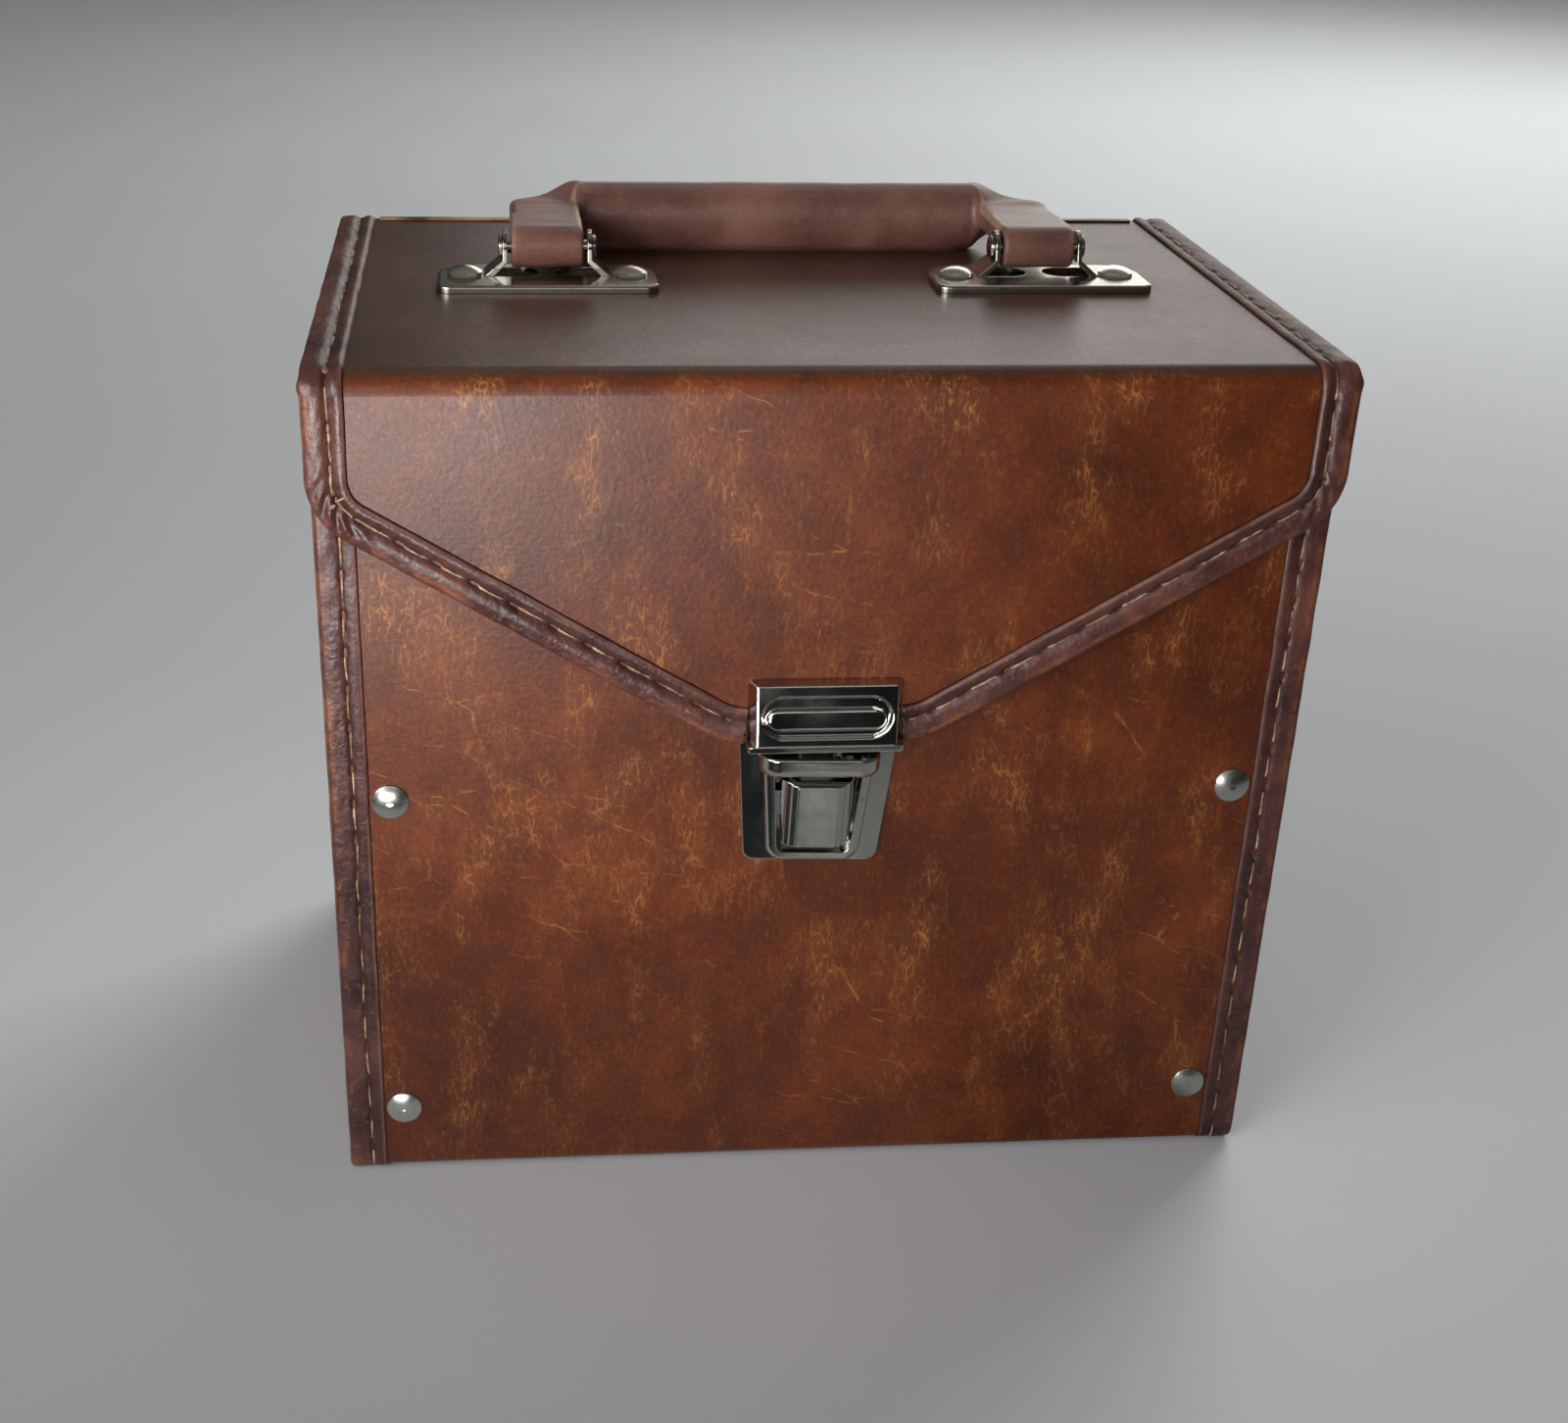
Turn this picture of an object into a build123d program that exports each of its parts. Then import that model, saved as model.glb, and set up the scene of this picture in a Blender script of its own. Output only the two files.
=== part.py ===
from build123d import *
import math
import os

# Record carrying case for 7-inch singles. The front faces -Y, and the case stands on z = 0.
# All sizes are in millimetres. The outlines are drawn with y = 0 midway through the case,
# and export_all moves them so that the origin is under the middle of the bounding box.

# ---- overall sizes ----
LID_WIDTH = 215.0        # across the bound edges of the lid
BODY_WIDTH = 213.4       # across the bound edges of the body
LID_TOP = 193.0          # upper face of the lid's board
FLAP_FACE = -72.6        # outer face of the lid's front flap
FRONT_FACE = -69.2       # outer face of the body's front wall
BACK_FACE = 72.4         # outer face of the body's back wall, and the lid's back edge

# ---- board and leather ----
LEATHER = 0.5            # one layer of binding
BINDING_WIDTH = 8.8      # how far a binding reaches in from a board's edge
ROLL_R = 1.15            # rounding of a binding's folded edge
WALL = 2.0               # body wrap
LID_WALL = 1.9           # lid board
PANEL = 1.8              # side panels
PAPER = 0.3              # linings
UNDERSIDE = LEATHER      # underside of the body wrap, lifted by the binding below it
BEND_R = 3.0             # outer radius of the wrap's two lower bends
LID_BEND_R = 4.8         # outer radius of the lid's front bend
FRONT_TOP = 189.0        # top edge of the front wall
BACK_TOP = 190.6         # top edge of the back wall
SIDE_TOP = 190.2         # top edge of the side panels
SIDE_FACE = 105.5        # outer face of a side panel
FLANGE_INNER = 86.0      # where a side panel's flanges end
FLANGE_NOTCH = 7.0       # clearance cut out of the flanges at each lower corner
TRAY_R = 2.5             # outer rounding of a side panel's bends
PAPER_GAP = 0.3          # between a lining and what it is laid against
SLIT_GAP = 0.05          # round a prong in its slot, and round a pin in its hole

# ---- outline of the pointed flap ----
FLAP_SLOPE = 0.60        # rise of the slanting edge for each millimetre outward
FLAP_APEX = 98.2         # height where the two slanting edges would meet
FLAP_BOTTOM = 111.3      # height of the blunt point under the hasp
FLAP_CORNER_R = 15.0     # outer corners of the flap
FLAP_POINT_R = 20.0      # where a slanting edge runs into the blunt point

# ---- cloth hinge ----
HINGE_THICK = 0.5
HINGE_ON_LID = 3.0       # width of the strip on top of the lid
HINGE_ON_BACK = 22.0     # width of the strip down the back wall
HINGE_HALF = 97.4

# ---- cap rivets that hold the side panels ----
RIVET_X = 93.5
RIVET_HEIGHTS = (17.7, 97.5)
CAP_R = 4.0
CAP_HIGH = 1.3
SHANK_R = 1.5
HOLE_R = 1.55
WASHER_R = 3.6
WASHER_THICK = 0.5
SHANK_PROUD = 0.4        # shank left standing out of a washer or a backing strip

# ---- handle and its brackets ----
BRACKET_X = 56.6
BRACKET_HALF = 25.0
BRACKET_FRONT = -8.5
BRACKET_BACK = 13.5
BRACKET_HIGH = 1.8
BRACKET_FRONT_R = 3.0    # corners of the plate seen from above
BRACKET_BACK_R = 9.0
BRACKET_RIM_R = 0.7
BOSS_R = 3.2
STEEL = 1.0              # sheet of the brackets
PIN_Y = 5.5
PIN_UP = 7.6             # pin axis above the lid
PIN_R = 1.5
PIN_HEAD_R = 2.6
PIN_HEAD_THICK = 1.0
EAR_IN = 9.1             # inner face of an ear, from the middle of its bracket
EAR_R = 3.7
EAR_TOP = 13.0
EAR_FOLD_HIGH = 5.3      # height where the slanting part of an ear turns upright
SLOT_R = 4.6
SLOT_END = 13.2
SLOT_RUN = 6.6           # straight part of the opening that an ear leaves
BRACKET_RIVET_X = 18.8
BRACKET_RIVET_Y = 3.2
DOME_HIGH = 2.0
LOOP_WIDTH = 16.4
LOOP_R = 4.6
LOOP_BORE_R = 1.7
STRAP_THICK = 5.6
GRIP_R = 7.6
ELBOW_INNER_R = 1.4      # inside corner between a strap and the grip, seen from above
GRIP_HALF = BRACKET_X - LOOP_WIDTH / 2 - ELBOW_INNER_R
GRIP_REACH = 34.0        # grip axis behind the pins
GRIP_RISE = 0.4          # grip axis above the pins
CORE_R = 4.6
CORE_HALF = GRIP_HALF - 2
STRAP_START = 14.0       # behind the pin, where the loop's fold ends
STRAP_EDGE_R = 1.0

# Forms of the elbow between grip and strap: turn in degrees, width, height, height of the
# middle above the pins, corner radius.
ELBOW_FORMS = [
    (22, 14.8, 12.8, 0.8, 5.4),
    (45, 13.6, 8.2, 1.3, 3.2),
    (66, 15.2, 6.2, 1.7, 1.8),
]
BACKING_WIDE = 46.0      # steel strip under the lid
BACKING_DEEP = 11.0
BACKING_R = 3.0
BACKING_THICK = 0.8

# ---- tuck lock ----
LOCK_X = -1.0
LOCK_Z = 96.0
LOCK_TILT = 1.5          # the lock is fixed a little askew
PLATE_THICK = 1.0
PLATE_TOP = 110.8
PLATE_BOTTOM = 81.3
PLATE_HALF = 16.2        # half width at LOCK_Z
TAPER = 0.083            # narrowing of each side for each millimetre down
COLLAR_HALF = 11.3
COLLAR_IN_HALF = 8.9
COLLAR_BOTTOM = 82.9
COLLAR_TOP = 104.4
COLLAR_FRONT = -73.9
POCKET_HALF = 13.4
POCKET_TOP = 109.2
POCKET_FRONT = -77.2
LOCK_SHEET = 0.8
PLATE_CORNER_R = 2.6
PLATE_RIM_R = 0.45
COLLAR_CORNER_R = 4.0
COLLAR_RIM_R = 1.3
POCKET_CORNER_R = 4.5
POCKET_ROLL_R = 2.2
POCKET_LIP_R = 0.5
BUTTON_HALF = 7.75
BUTTON_LOW = 87.8
BUTTON_HIGH = 103.2
BUTTON_FRONT = -76.4
BUTTON_BACK = -71.4
BUTTON_TRAVEL = 2.0
CATCH_TOP = 108.4
CATCH_HALF = 3.4
CATCH_PLATE_HALF = 7.0
CATCH_NOSE_Z = 107.1
CATCH_NOSE_FRONT = -73.8
CATCH_FOOT_HALF = 9.8
CATCH_FOOT = (92.0, 98.0)
SPRING_MIDDLE = 95.5
SPRING_HALF = 6.0
SPRING_FOOT = -65.9
SPRING_THICK = 0.35
SPRING_WIDE = 6.0
DISH_HALF = 10.9
DISH = (84.6, 110.0)
DISH_DEEP = 1.5
BUTTON_WALL = 1.4
PRONG_X = 12.8
PRONG_HEIGHTS = (86.8, 105.4)
PRONG_WIDE = 2.4
PRONG_THICK = 0.6
PRONG_FOLD = 2.2         # length that a prong is folded over
LOCK_HOLE_HALF = 10.4    # hole in the front wall behind the lock
LOCK_HOLE = (85.0, 109.6)
LINING_WINDOW_HALF = 17.5
LINING_WINDOW = (79.5, 113.5)

# ---- hasp on the flap ----
HASP_HALF = 16.7
HASP_FACE_HALF = 15.2
HASP_BOTTOM = 111.3
HASP_TOP = 126.4
HASP_FRONT = -76.7       # middle of the cap's face
HASP_TILT = 7.0          # the cap's face leans back at the top
LIP_FRONT = -77.6
LIP_HIGH = 1.4
HEM_HALF = 16.9
TONGUE_X = -0.6
TONGUE_HALF = 11.7
TONGUE_THICK = 0.8
TONGUE_BOTTOM = 105.6
TONGUE_TOP = 124.6
TONGUE_WINDOW = (106.8, 109.4)
HASP_PRONG_X = 12.6
HASP_PRONG_HEIGHTS = (115.2, 122.8)
HASP_PLATE_WIDE = 30.0
HASP_PLATE_TALL = 12.4
HASP_PLATE_R = 1.5
HASP_PLATE_THICK = 0.5
OVAL = (28.6, 9.8)       # mouth of the drawn oval
OVAL_FLOOR = (27.2, 8.4)
OVAL_DEEP = 1.1
BAR = (26.0, 5.0)        # rounded bar in the oval
BAR_DROP = 0.6           # bar below the middle of the oval
BAR_R = 0.9

# The bounding box runs from the hasp's lip to the caps of the back rivets.
SHIFT_Y = -(LIP_FRONT + BACK_FACE + CAP_HIGH) / 2


# ---- helpers ----
def along_x(outline, low, high):
    """Extrude a Y-Z outline between two x stations."""
    return extrude(Plane.YZ.offset(low) * outline, amount=high - low)


def along_y(outline, low, high):
    """Extrude an X-Z outline between two y stations."""
    return extrude(Plane.XZ.offset(-high) * outline, amount=high - low)


def along_z(outline, low, high):
    """Extrude an X-Y outline between two z stations."""
    return extrude(Plane.XY.offset(low) * outline, amount=high - low)


def block(x, y, z):
    """Box from three (low, high) pairs."""
    size = (x[1] - x[0], y[1] - y[0], z[1] - z[0])
    middle = Pos((x[0] + x[1]) / 2, (y[0] + y[1]) / 2, (z[0] + z[1]) / 2)
    return middle * Box(*size)


def rod_x(radius, low, high, y, z):
    """Cylinder along X."""
    return along_x(Pos(y, z) * Circle(radius), low, high)


def rod_y(radius, low, high, x, z):
    """Cylinder along Y."""
    return along_y(Pos(x, z) * Circle(radius), low, high)


def rod_z(radius, low, high, x, y):
    """Cylinder along Z."""
    return along_z(Pos(x, y) * Circle(radius), low, high)


def mirror_x(shape):
    """The same piece for the other side of the case."""
    return mirror(shape, about=Plane.YZ)


def domed_rivet(radius, high, reach):
    """Rivet on the Z axis: low dome above z = 0, and a shank down to -reach."""
    crown = high * 0.65
    curve = (radius ** 2 + crown ** 2) / (2 * crown)
    head = rod_z(radius, 0, high, 0, 0) & Pos(0, 0, high - curve) * Sphere(curve)
    return head + rod_z(SHANK_R, -reach, high / 2, 0, 0)


# ---- body ----
def tub(grow, top, radius=None):
    """Y-Z outline of the body seen from the side, grown by an amount all round."""
    corner = max(BEND_R + grow, 0.4) if radius is None else radius
    depth = BACK_FACE - FRONT_FACE + 2 * grow
    height = top - UNDERSIDE + grow
    outline = Rectangle(depth, height, align=(Align.CENTER, Align.MIN))
    outline = fillet(outline.vertices().sort_by(Axis.Y)[:2], corner)
    return Pos((FRONT_FACE + BACK_FACE) / 2, UNDERSIDE - grow) * outline


def body_band(outer, inner, low, high):
    """U-shaped band of board, leather or paper, between two x stations."""
    return along_x(tub(outer, BACK_TOP) - tub(inner, BACK_TOP + 1), low, high)


def above_front_wall():
    """Space over the front wall, which is lower than the back wall."""
    return block((-120, 120), (FRONT_FACE - 5, FRONT_FACE + 8), (FRONT_TOP, BACK_TOP + 5))


def rivet_holes(y_low, y_high):
    """Holes for the cap rivets through the walls between two y stations."""
    holes = [rod_y(HOLE_R, y_low, y_high, side * RIVET_X, z) for side in (-1, 1) for z in RIVET_HEIGHTS]
    return Part() + holes


def make_body_wrap():
    """Front, bottom and back in one bent board, cut for the rivets and the lock."""
    half = BODY_WIDTH / 2 - LEATHER
    wrap = body_band(0, -WALL, -half, half) - above_front_wall()
    wrap -= rivet_holes(FRONT_FACE - 1, FRONT_FACE + WALL + 1)
    wrap -= rivet_holes(BACK_FACE - WALL - 1, BACK_FACE + 1)
    through = (FRONT_FACE - 1, FRONT_FACE + WALL + 1)
    lock_hole = block((-LOCK_HOLE_HALF, LOCK_HOLE_HALF), through, LOCK_HOLE)
    slots = prongs(*through, SLIT_GAP)
    return wrap - place_lock(lock_hole) - place_lock(slots)


def make_body_binding():
    """Leather folded over the right edge of the wrap, from the front top to the back top."""
    edge = BODY_WIDTH / 2
    fold = body_band(LEATHER, -WALL - LEATHER, edge - BINDING_WIDTH, edge)
    rim = fold.faces().sort_by(Axis.X)[-1].edges().filter_by(lambda e: e.center().Z < BACK_TOP - 1)
    fold = fillet(rim, ROLL_R)
    fold -= body_band(0, -WALL, 0, edge - LEATHER)
    trimmed = block((0, 120), (FRONT_FACE - 5, BACK_FACE + 5), (SIDE_TOP, BACK_TOP + 5))
    return fold - above_front_wall() - trimmed


def tray(inset, low, high, rounding):
    """Solid of a side panel's outer or inner form, with every bend rounded."""
    gap = WALL + LEATHER + inset
    y_range = (FRONT_FACE + gap, BACK_FACE - gap)
    solid = block((low, high), y_range, (UNDERSIDE + gap, SIDE_TOP))
    outer_edges = solid.faces().sort_by(Axis.X)[-1].edges().filter_by(lambda e: e.center().Z < SIDE_TOP - 1)
    floor_edges = solid.edges().filter_by(Axis.X).filter_by(lambda e: e.center().Z < SIDE_TOP - 1)
    return fillet(outer_edges + floor_edges, rounding)


def make_side_panel():
    """Right side panel with flanges turned inward behind the front, bottom and back."""
    panel = tray(0, FLANGE_INNER, SIDE_FACE, TRAY_R)
    hollow = tray(PANEL, FLANGE_INNER, SIDE_FACE - PANEL, TRAY_R - PANEL)
    cap = block((0, SIDE_FACE - PANEL), (FRONT_FACE + 6, BACK_FACE - 6), (SIDE_TOP - 5, SIDE_TOP + 5))
    panel -= hollow + cap
    low = UNDERSIDE + WALL + LEATHER
    notch_x = (FLANGE_INNER - 1, SIDE_FACE - 4)
    notch_z = (low - 1, low + FLANGE_NOTCH)
    for y in (FRONT_FACE + WALL + LEATHER, BACK_FACE - WALL - LEATHER):
        panel -= block(notch_x, (y - FLANGE_NOTCH, y + FLANGE_NOTCH), notch_z)
    panel -= block((0, SIDE_FACE - 4), (FRONT_FACE, FRONT_FACE + 6), (FRONT_TOP, SIDE_TOP + 1))
    panel -= rivet_holes(FRONT_FACE, FRONT_FACE + 8)
    return panel - rivet_holes(BACK_FACE - 8, BACK_FACE)


def wall_stack():
    """Wall, binding allowance and flange that a cap rivet draws together."""
    return WALL + LEATHER + PANEL


def make_cap_rivets(face, outward):
    """Four cap rivets through one wall: outward is -1 at the front and 1 at the back."""
    rivet = domed_rivet(CAP_R, CAP_HIGH, wall_stack() + WASHER_THICK + SHANK_PROUD)
    turn = Rot(90, 0, 0) if outward < 0 else Rot(-90, 0, 0)
    return Part() + [Pos(s * RIVET_X, face, z) * turn * rivet for s in (-1, 1) for z in RIVET_HEIGHTS]


def make_rivet_washers():
    """Washers that the rivets are closed over, inside the case."""
    washers = []
    for side in (-1, 1):
        for z in RIVET_HEIGHTS:
            for y in (FRONT_FACE + wall_stack(), BACK_FACE - wall_stack() - WASHER_THICK):
                ring = rod_y(WASHER_R, y, y + WASHER_THICK, side * RIVET_X, z)
                washers.append(ring - rod_y(HOLE_R, y - 1, y + 2, side * RIVET_X, z))
    return Part() + washers


def make_wrap_lining():
    """Paper glued inside the front, bottom and back, between the flanges."""
    half = FLANGE_INNER - PAPER_GAP
    paper = body_band(-WALL, -WALL - PAPER, -half, half) - above_front_wall()
    window_x = (-LINING_WINDOW_HALF, LINING_WINDOW_HALF)
    return paper - place_lock(block(window_x, (FRONT_FACE, FRONT_FACE + 5), LINING_WINDOW))


def make_side_lining():
    """Paper glued inside the right side panel."""
    inset = WALL + LEATHER + PANEL + TRAY_R
    y_range = (FRONT_FACE + inset, BACK_FACE - inset)
    face = SIDE_FACE - PANEL
    return block((face - PAPER, face), y_range, (UNDERSIDE + inset, SIDE_TOP - 0.5))


# ---- lid ----
def lid_region(grow):
    """Y-Z outline of everything under the lid's outer face, grown by an amount."""
    depth = BACK_FACE - FLAP_FACE + grow
    outline = Rectangle(depth + 10, 130, align=(Align.MIN, Align.MAX))
    corner = outline.vertices().sort_by(Axis.Y)[-2:].sort_by(Axis.X)[0]
    outline = fillet(corner, LID_BEND_R + grow)
    return Pos(FLAP_FACE - grow, LID_TOP + grow) * outline


def flap_outline(inset):
    """X-Z outline of the lid seen from the front, inside its bound edge by an amount."""
    half = LID_WIDTH / 2 - inset
    rise = FLAP_APEX + inset * math.hypot(1, FLAP_SLOPE)
    bottom = FLAP_BOTTOM + inset
    point_x = (bottom - rise) / FLAP_SLOPE
    right = [(half, 200), (half, rise + FLAP_SLOPE * half), (point_x, bottom)]
    left = [(-x, z) for x, z in reversed(right)]
    outline = make_face(Polyline(*right, *left, close=True))
    corners = outline.vertices().sort_by(Axis.Y)
    outline = fillet(corners[2:4], FLAP_CORNER_R - inset)
    points = outline.vertices().sort_by(Axis.Y)[:2]
    return fillet(points, FLAP_POINT_R)


def lid_sheet(outer, inner, inset):
    """Bent sheet between two depths of the lid, cut to the flap's outline."""
    band = lid_region(outer) - lid_region(inner)
    sheet = along_x(band, -LID_WIDTH / 2, LID_WIDTH / 2)
    sheet &= along_y(flap_outline(inset), FLAP_FACE - 10, BACK_FACE)
    return sheet


def make_lid_board():
    """Top and pointed flap in one bent board."""
    board = lid_sheet(0, -LID_WALL, LEATHER)
    board -= bracket_holes(LID_TOP - 5, LID_TOP + 1)
    return board - hasp_prongs(FLAP_FACE - 1, FLAP_FACE + LID_WALL + 1, SLIT_GAP)


def make_lid_binding():
    """Leather folded over the right edge of the lid, from the back to the hasp."""
    fold = lid_sheet(LEATHER, -LID_WALL - LEATHER, 0)
    rim = fold.edges().filter_by(lambda e: e.length > 3.2 and abs((e @ 0).X - (e @ 1).X) < 100)
    rim = rim.filter_by(lambda e: e.bounding_box().size.X > 0.01 or abs(e.center().X) > LID_WIDTH / 2 - 0.01)
    rim = rim.filter_by(lambda e: e.center().Y < BACK_FACE - 0.5 and e.center().Z < LID_TOP + 1)
    fold = fillet(rim, ROLL_R)
    fold -= along_y(flap_outline(BINDING_WIDTH), FLAP_FACE - 10, BACK_FACE + 10)
    fold -= lid_sheet(0, -LID_WALL, LEATHER)
    keep = block((HASP_HALF + 0.4, 120), (FLAP_FACE - 5, BACK_FACE - 0.5), (90, LID_TOP + 5))
    return fold & keep


def make_lid_lining():
    """Paper glued inside the lid, open round the hasp's backing plate."""
    paper = lid_sheet(-LID_WALL, -LID_WALL - PAPER, BINDING_WIDTH + PAPER_GAP)
    paper -= block((-18.5, 18.5), (FLAP_FACE - 1, FLAP_FACE + 5), (100, 131))
    paper -= block((-110, 110), (BACK_FACE - 3, BACK_FACE + 5), (180, 200))
    return paper - bracket_holes(LID_TOP - 5, LID_TOP + 1)


def make_hinge_strip():
    """Leather strip that joins the lid to the back wall round the back edge."""
    top = LID_TOP + HINGE_THICK
    back = BACK_FACE + HINGE_THICK
    outer = Rectangle(HINGE_ON_LID + HINGE_THICK, HINGE_ON_BACK, align=(Align.MAX, Align.MAX))
    outer = Pos(back, top) * fillet(outer.vertices().sort_by(Axis.Y)[-2:].sort_by(Axis.X)[1], 1.0)
    inner = Pos(BACK_FACE, LID_TOP) * Rectangle(50, 50, align=(Align.MAX, Align.MAX))
    return along_x(outer - inner, -HINGE_HALF, HINGE_HALF)


# ---- handle ----
def bracket_places():
    """Middle of each handle bracket on top of the lid."""
    return [Pos(side * BRACKET_X, 0, LID_TOP) for side in (-1, 1)]


def bracket_holes(low, high):
    """Holes for the four bracket rivets between two z stations."""
    sites = [(s * BRACKET_X + r * BRACKET_RIVET_X) for s in (-1, 1) for r in (-1, 1)]
    return Part() + [rod_z(HOLE_R, low, high, x, BRACKET_RIVET_Y) for x in sites]


def lanced_slot():
    """Opening that an ear leaves in the plate: straight sides and a round inner end."""
    centre = SLOT_END - SLOT_RUN
    run = Pos(centre, PIN_Y) * Rectangle(SLOT_RUN, 2 * SLOT_R, align=(Align.MIN, Align.CENTER))
    return along_z(run + Pos(centre, PIN_Y) * Circle(SLOT_R), -1, BRACKET_HIGH + 1)


def make_ear():
    """One ear, lanced out of the plate, slanting in and then standing upright."""
    out = EAR_IN + STEEL
    low = BRACKET_HIGH - STEEL
    foot = SLOT_END + 1.1
    side = Polyline(
        (EAR_IN, EAR_TOP), (out, EAR_TOP), (out, EAR_FOLD_HIGH), (foot, BRACKET_HIGH),
        (foot, low), (SLOT_END, low), (EAR_IN, EAR_FOLD_HIGH - 0.5), close=True)
    strip = along_y(make_face(side), PIN_Y - SLOT_R, PIN_Y + SLOT_R)
    shoulder = 3.4
    front = Polyline(
        (-SLOT_R, low), (SLOT_R, low), (SLOT_R, shoulder), (EAR_R, PIN_UP), (-EAR_R, PIN_UP),
        (-SLOT_R, shoulder), close=True)
    outline = make_face(front) + Pos(0, PIN_UP) * Circle(EAR_R)
    ear = strip & along_x(Pos(PIN_Y, 0) * outline, 0, 20)
    return ear - rod_x(PIN_R + SLIT_GAP, 0, 20, PIN_Y, PIN_UP)


def make_bracket():
    """Stamped plate with a turned-down edge and two lanced ears, about its own middle."""
    depth = BRACKET_BACK - BRACKET_FRONT
    outline = Pos(0, (BRACKET_FRONT + BRACKET_BACK) / 2) * Rectangle(2 * BRACKET_HALF, depth)
    outline = fillet(outline.vertices().sort_by(Axis.Y)[:2], BRACKET_FRONT_R)
    outline = fillet(outline.vertices().sort_by(Axis.Y)[-2:], BRACKET_BACK_R)
    plate = along_z(outline, 0, BRACKET_HIGH)
    plate = fillet(plate.faces().sort_by(Axis.Z)[-1].edges(), BRACKET_RIM_R)
    plate -= along_z(offset(outline, -STEEL), -1, BRACKET_HIGH - STEEL)
    plate -= lanced_slot() + mirror_x(lanced_slot())
    plate += make_ear() + mirror_x(make_ear())
    for x in (-BRACKET_RIVET_X, BRACKET_RIVET_X):
        plate -= rod_z(HOLE_R, -1, 5, x, BRACKET_RIVET_Y)
        boss = rod_z(BOSS_R, 0, BRACKET_HIGH - STEEL, x, BRACKET_RIVET_Y)
        plate += boss - rod_z(HOLE_R, -1, 5, x, BRACKET_RIVET_Y)
    return plate


def make_bracket_rivets():
    """Four domed rivets that clamp the brackets and the backing strips to the lid."""
    reach = BRACKET_HIGH + LID_WALL + PAPER + BACKING_THICK + SHANK_PROUD
    rivet = domed_rivet(CAP_R, DOME_HIGH, reach)
    rivets = []
    for place in bracket_places():
        for x in (-BRACKET_RIVET_X, BRACKET_RIVET_X):
            rivets.append(place * Pos(x, BRACKET_RIVET_Y, BRACKET_HIGH) * rivet)
    return Part() + rivets


def make_backing_strip(place):
    """Steel strip under the lid, which spreads the handle's pull."""
    outline = Pos(0, BRACKET_RIVET_Y) * RectangleRounded(BACKING_WIDE, BACKING_DEEP, BACKING_R)
    top = -LID_WALL - PAPER
    strip = along_z(outline, top - BACKING_THICK, top)
    for x in (-BRACKET_RIVET_X, BRACKET_RIVET_X):
        strip -= rod_z(HOLE_R, -5, 0, x, BRACKET_RIVET_Y)
    return place * strip


def make_pin(place):
    """Headed pin through both ears, which a loop of the handle turns on."""
    out = EAR_IN + STEEL
    pin = rod_x(PIN_R, -out - PIN_HEAD_THICK / 2, out + PIN_HEAD_THICK / 2, PIN_Y, PIN_UP)
    for low in (-out - PIN_HEAD_THICK, out):
        head = rod_x(PIN_HEAD_R, low, low + PIN_HEAD_THICK, PIN_Y, PIN_UP)
        pin += chamfer(head.edges().filter_by(GeomType.CIRCLE), 0.3)
    return place * pin


def loop_and_strap():
    """Loop round the pin and the doubled strap behind it, about the pin's middle."""
    low = LOOP_R - STRAP_THICK
    outline = Circle(LOOP_R)
    outline += Pos(0, low) * Rectangle(STRAP_START, STRAP_THICK, align=(Align.MIN, Align.MIN))
    outline += make_face(Polyline((0, 0), (1.6, -4.31), (9.5, low), (9.5, 0), close=True))
    body = along_x(outline, -LOOP_WIDTH / 2, LOOP_WIDTH / 2)
    return body - rod_x(LOOP_BORE_R, -20, 20, 0, 0)


def elbow_section(turn, wide, high, centre_z, rounding):
    """Cross-section of the elbow after a turn in degrees from the grip's axis."""
    bend = ELBOW_INNER_R + wide / 2
    corner_y = GRIP_REACH - GRIP_R - ELBOW_INNER_R
    angle = math.radians(turn)
    centre = (GRIP_HALF + bend * math.sin(angle), corner_y + bend * math.cos(angle), centre_z)
    travel = (math.cos(angle), -math.sin(angle), 0)
    across = (math.sin(angle), math.cos(angle), 0)
    return Plane(origin=centre, x_dir=across, z_dir=travel) * RectangleRounded(wide, high, rounding)


def make_elbow():
    """Right elbow: the round grip drops in a hollow sweep to the flat strap."""
    strap_z = LOOP_R - STRAP_THICK / 2
    round_end = (0, 2 * GRIP_R, 2 * GRIP_R, GRIP_RISE, GRIP_R - 0.05)
    flat_end = (90, LOOP_WIDTH, STRAP_THICK, strap_z, STRAP_EDGE_R)
    sections = [elbow_section(*form) for form in (round_end, *ELBOW_FORMS, flat_end)]
    start = GRIP_REACH - GRIP_R - ELBOW_INNER_R
    reach = (STRAP_START - 0.1, start)
    strap = block((-LOOP_WIDTH / 2, LOOP_WIDTH / 2), reach, (LOOP_R - STRAP_THICK, LOOP_R))
    strap = fillet(strap.edges().filter_by(Axis.Y), STRAP_EDGE_R)
    return loft(sections) + Pos(BRACKET_X, 0, 0) * strap


def handle_place():
    """The handle is drawn about the pins' axis."""
    return Pos(0, PIN_Y, LID_TOP + PIN_UP)


def make_handle_cover():
    """Leather rolled round the core, with flat straps that end in loops."""
    grip = rod_x(GRIP_R, -GRIP_HALF, GRIP_HALF, GRIP_REACH, GRIP_RISE)
    side = make_elbow() + Pos(BRACKET_X, 0, 0) * loop_and_strap()
    cover = grip + side + mirror_x(side)
    cover -= rod_x(CORE_R, -CORE_HALF, CORE_HALF, GRIP_REACH, GRIP_RISE)
    return handle_place() * cover


def make_handle_core():
    """Cord core inside the grip."""
    return handle_place() * rod_x(CORE_R, -CORE_HALF, CORE_HALF, GRIP_REACH, GRIP_RISE)


# ---- lock ----
def place_lock(shape):
    """Set a lock piece, drawn upright about x = 0, at its slight angle on the front."""
    turn = Pos(LOCK_X, 0, LOCK_Z) * Rot(0, LOCK_TILT, 0) * Pos(0, 0, -LOCK_Z)
    return turn * shape


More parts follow.
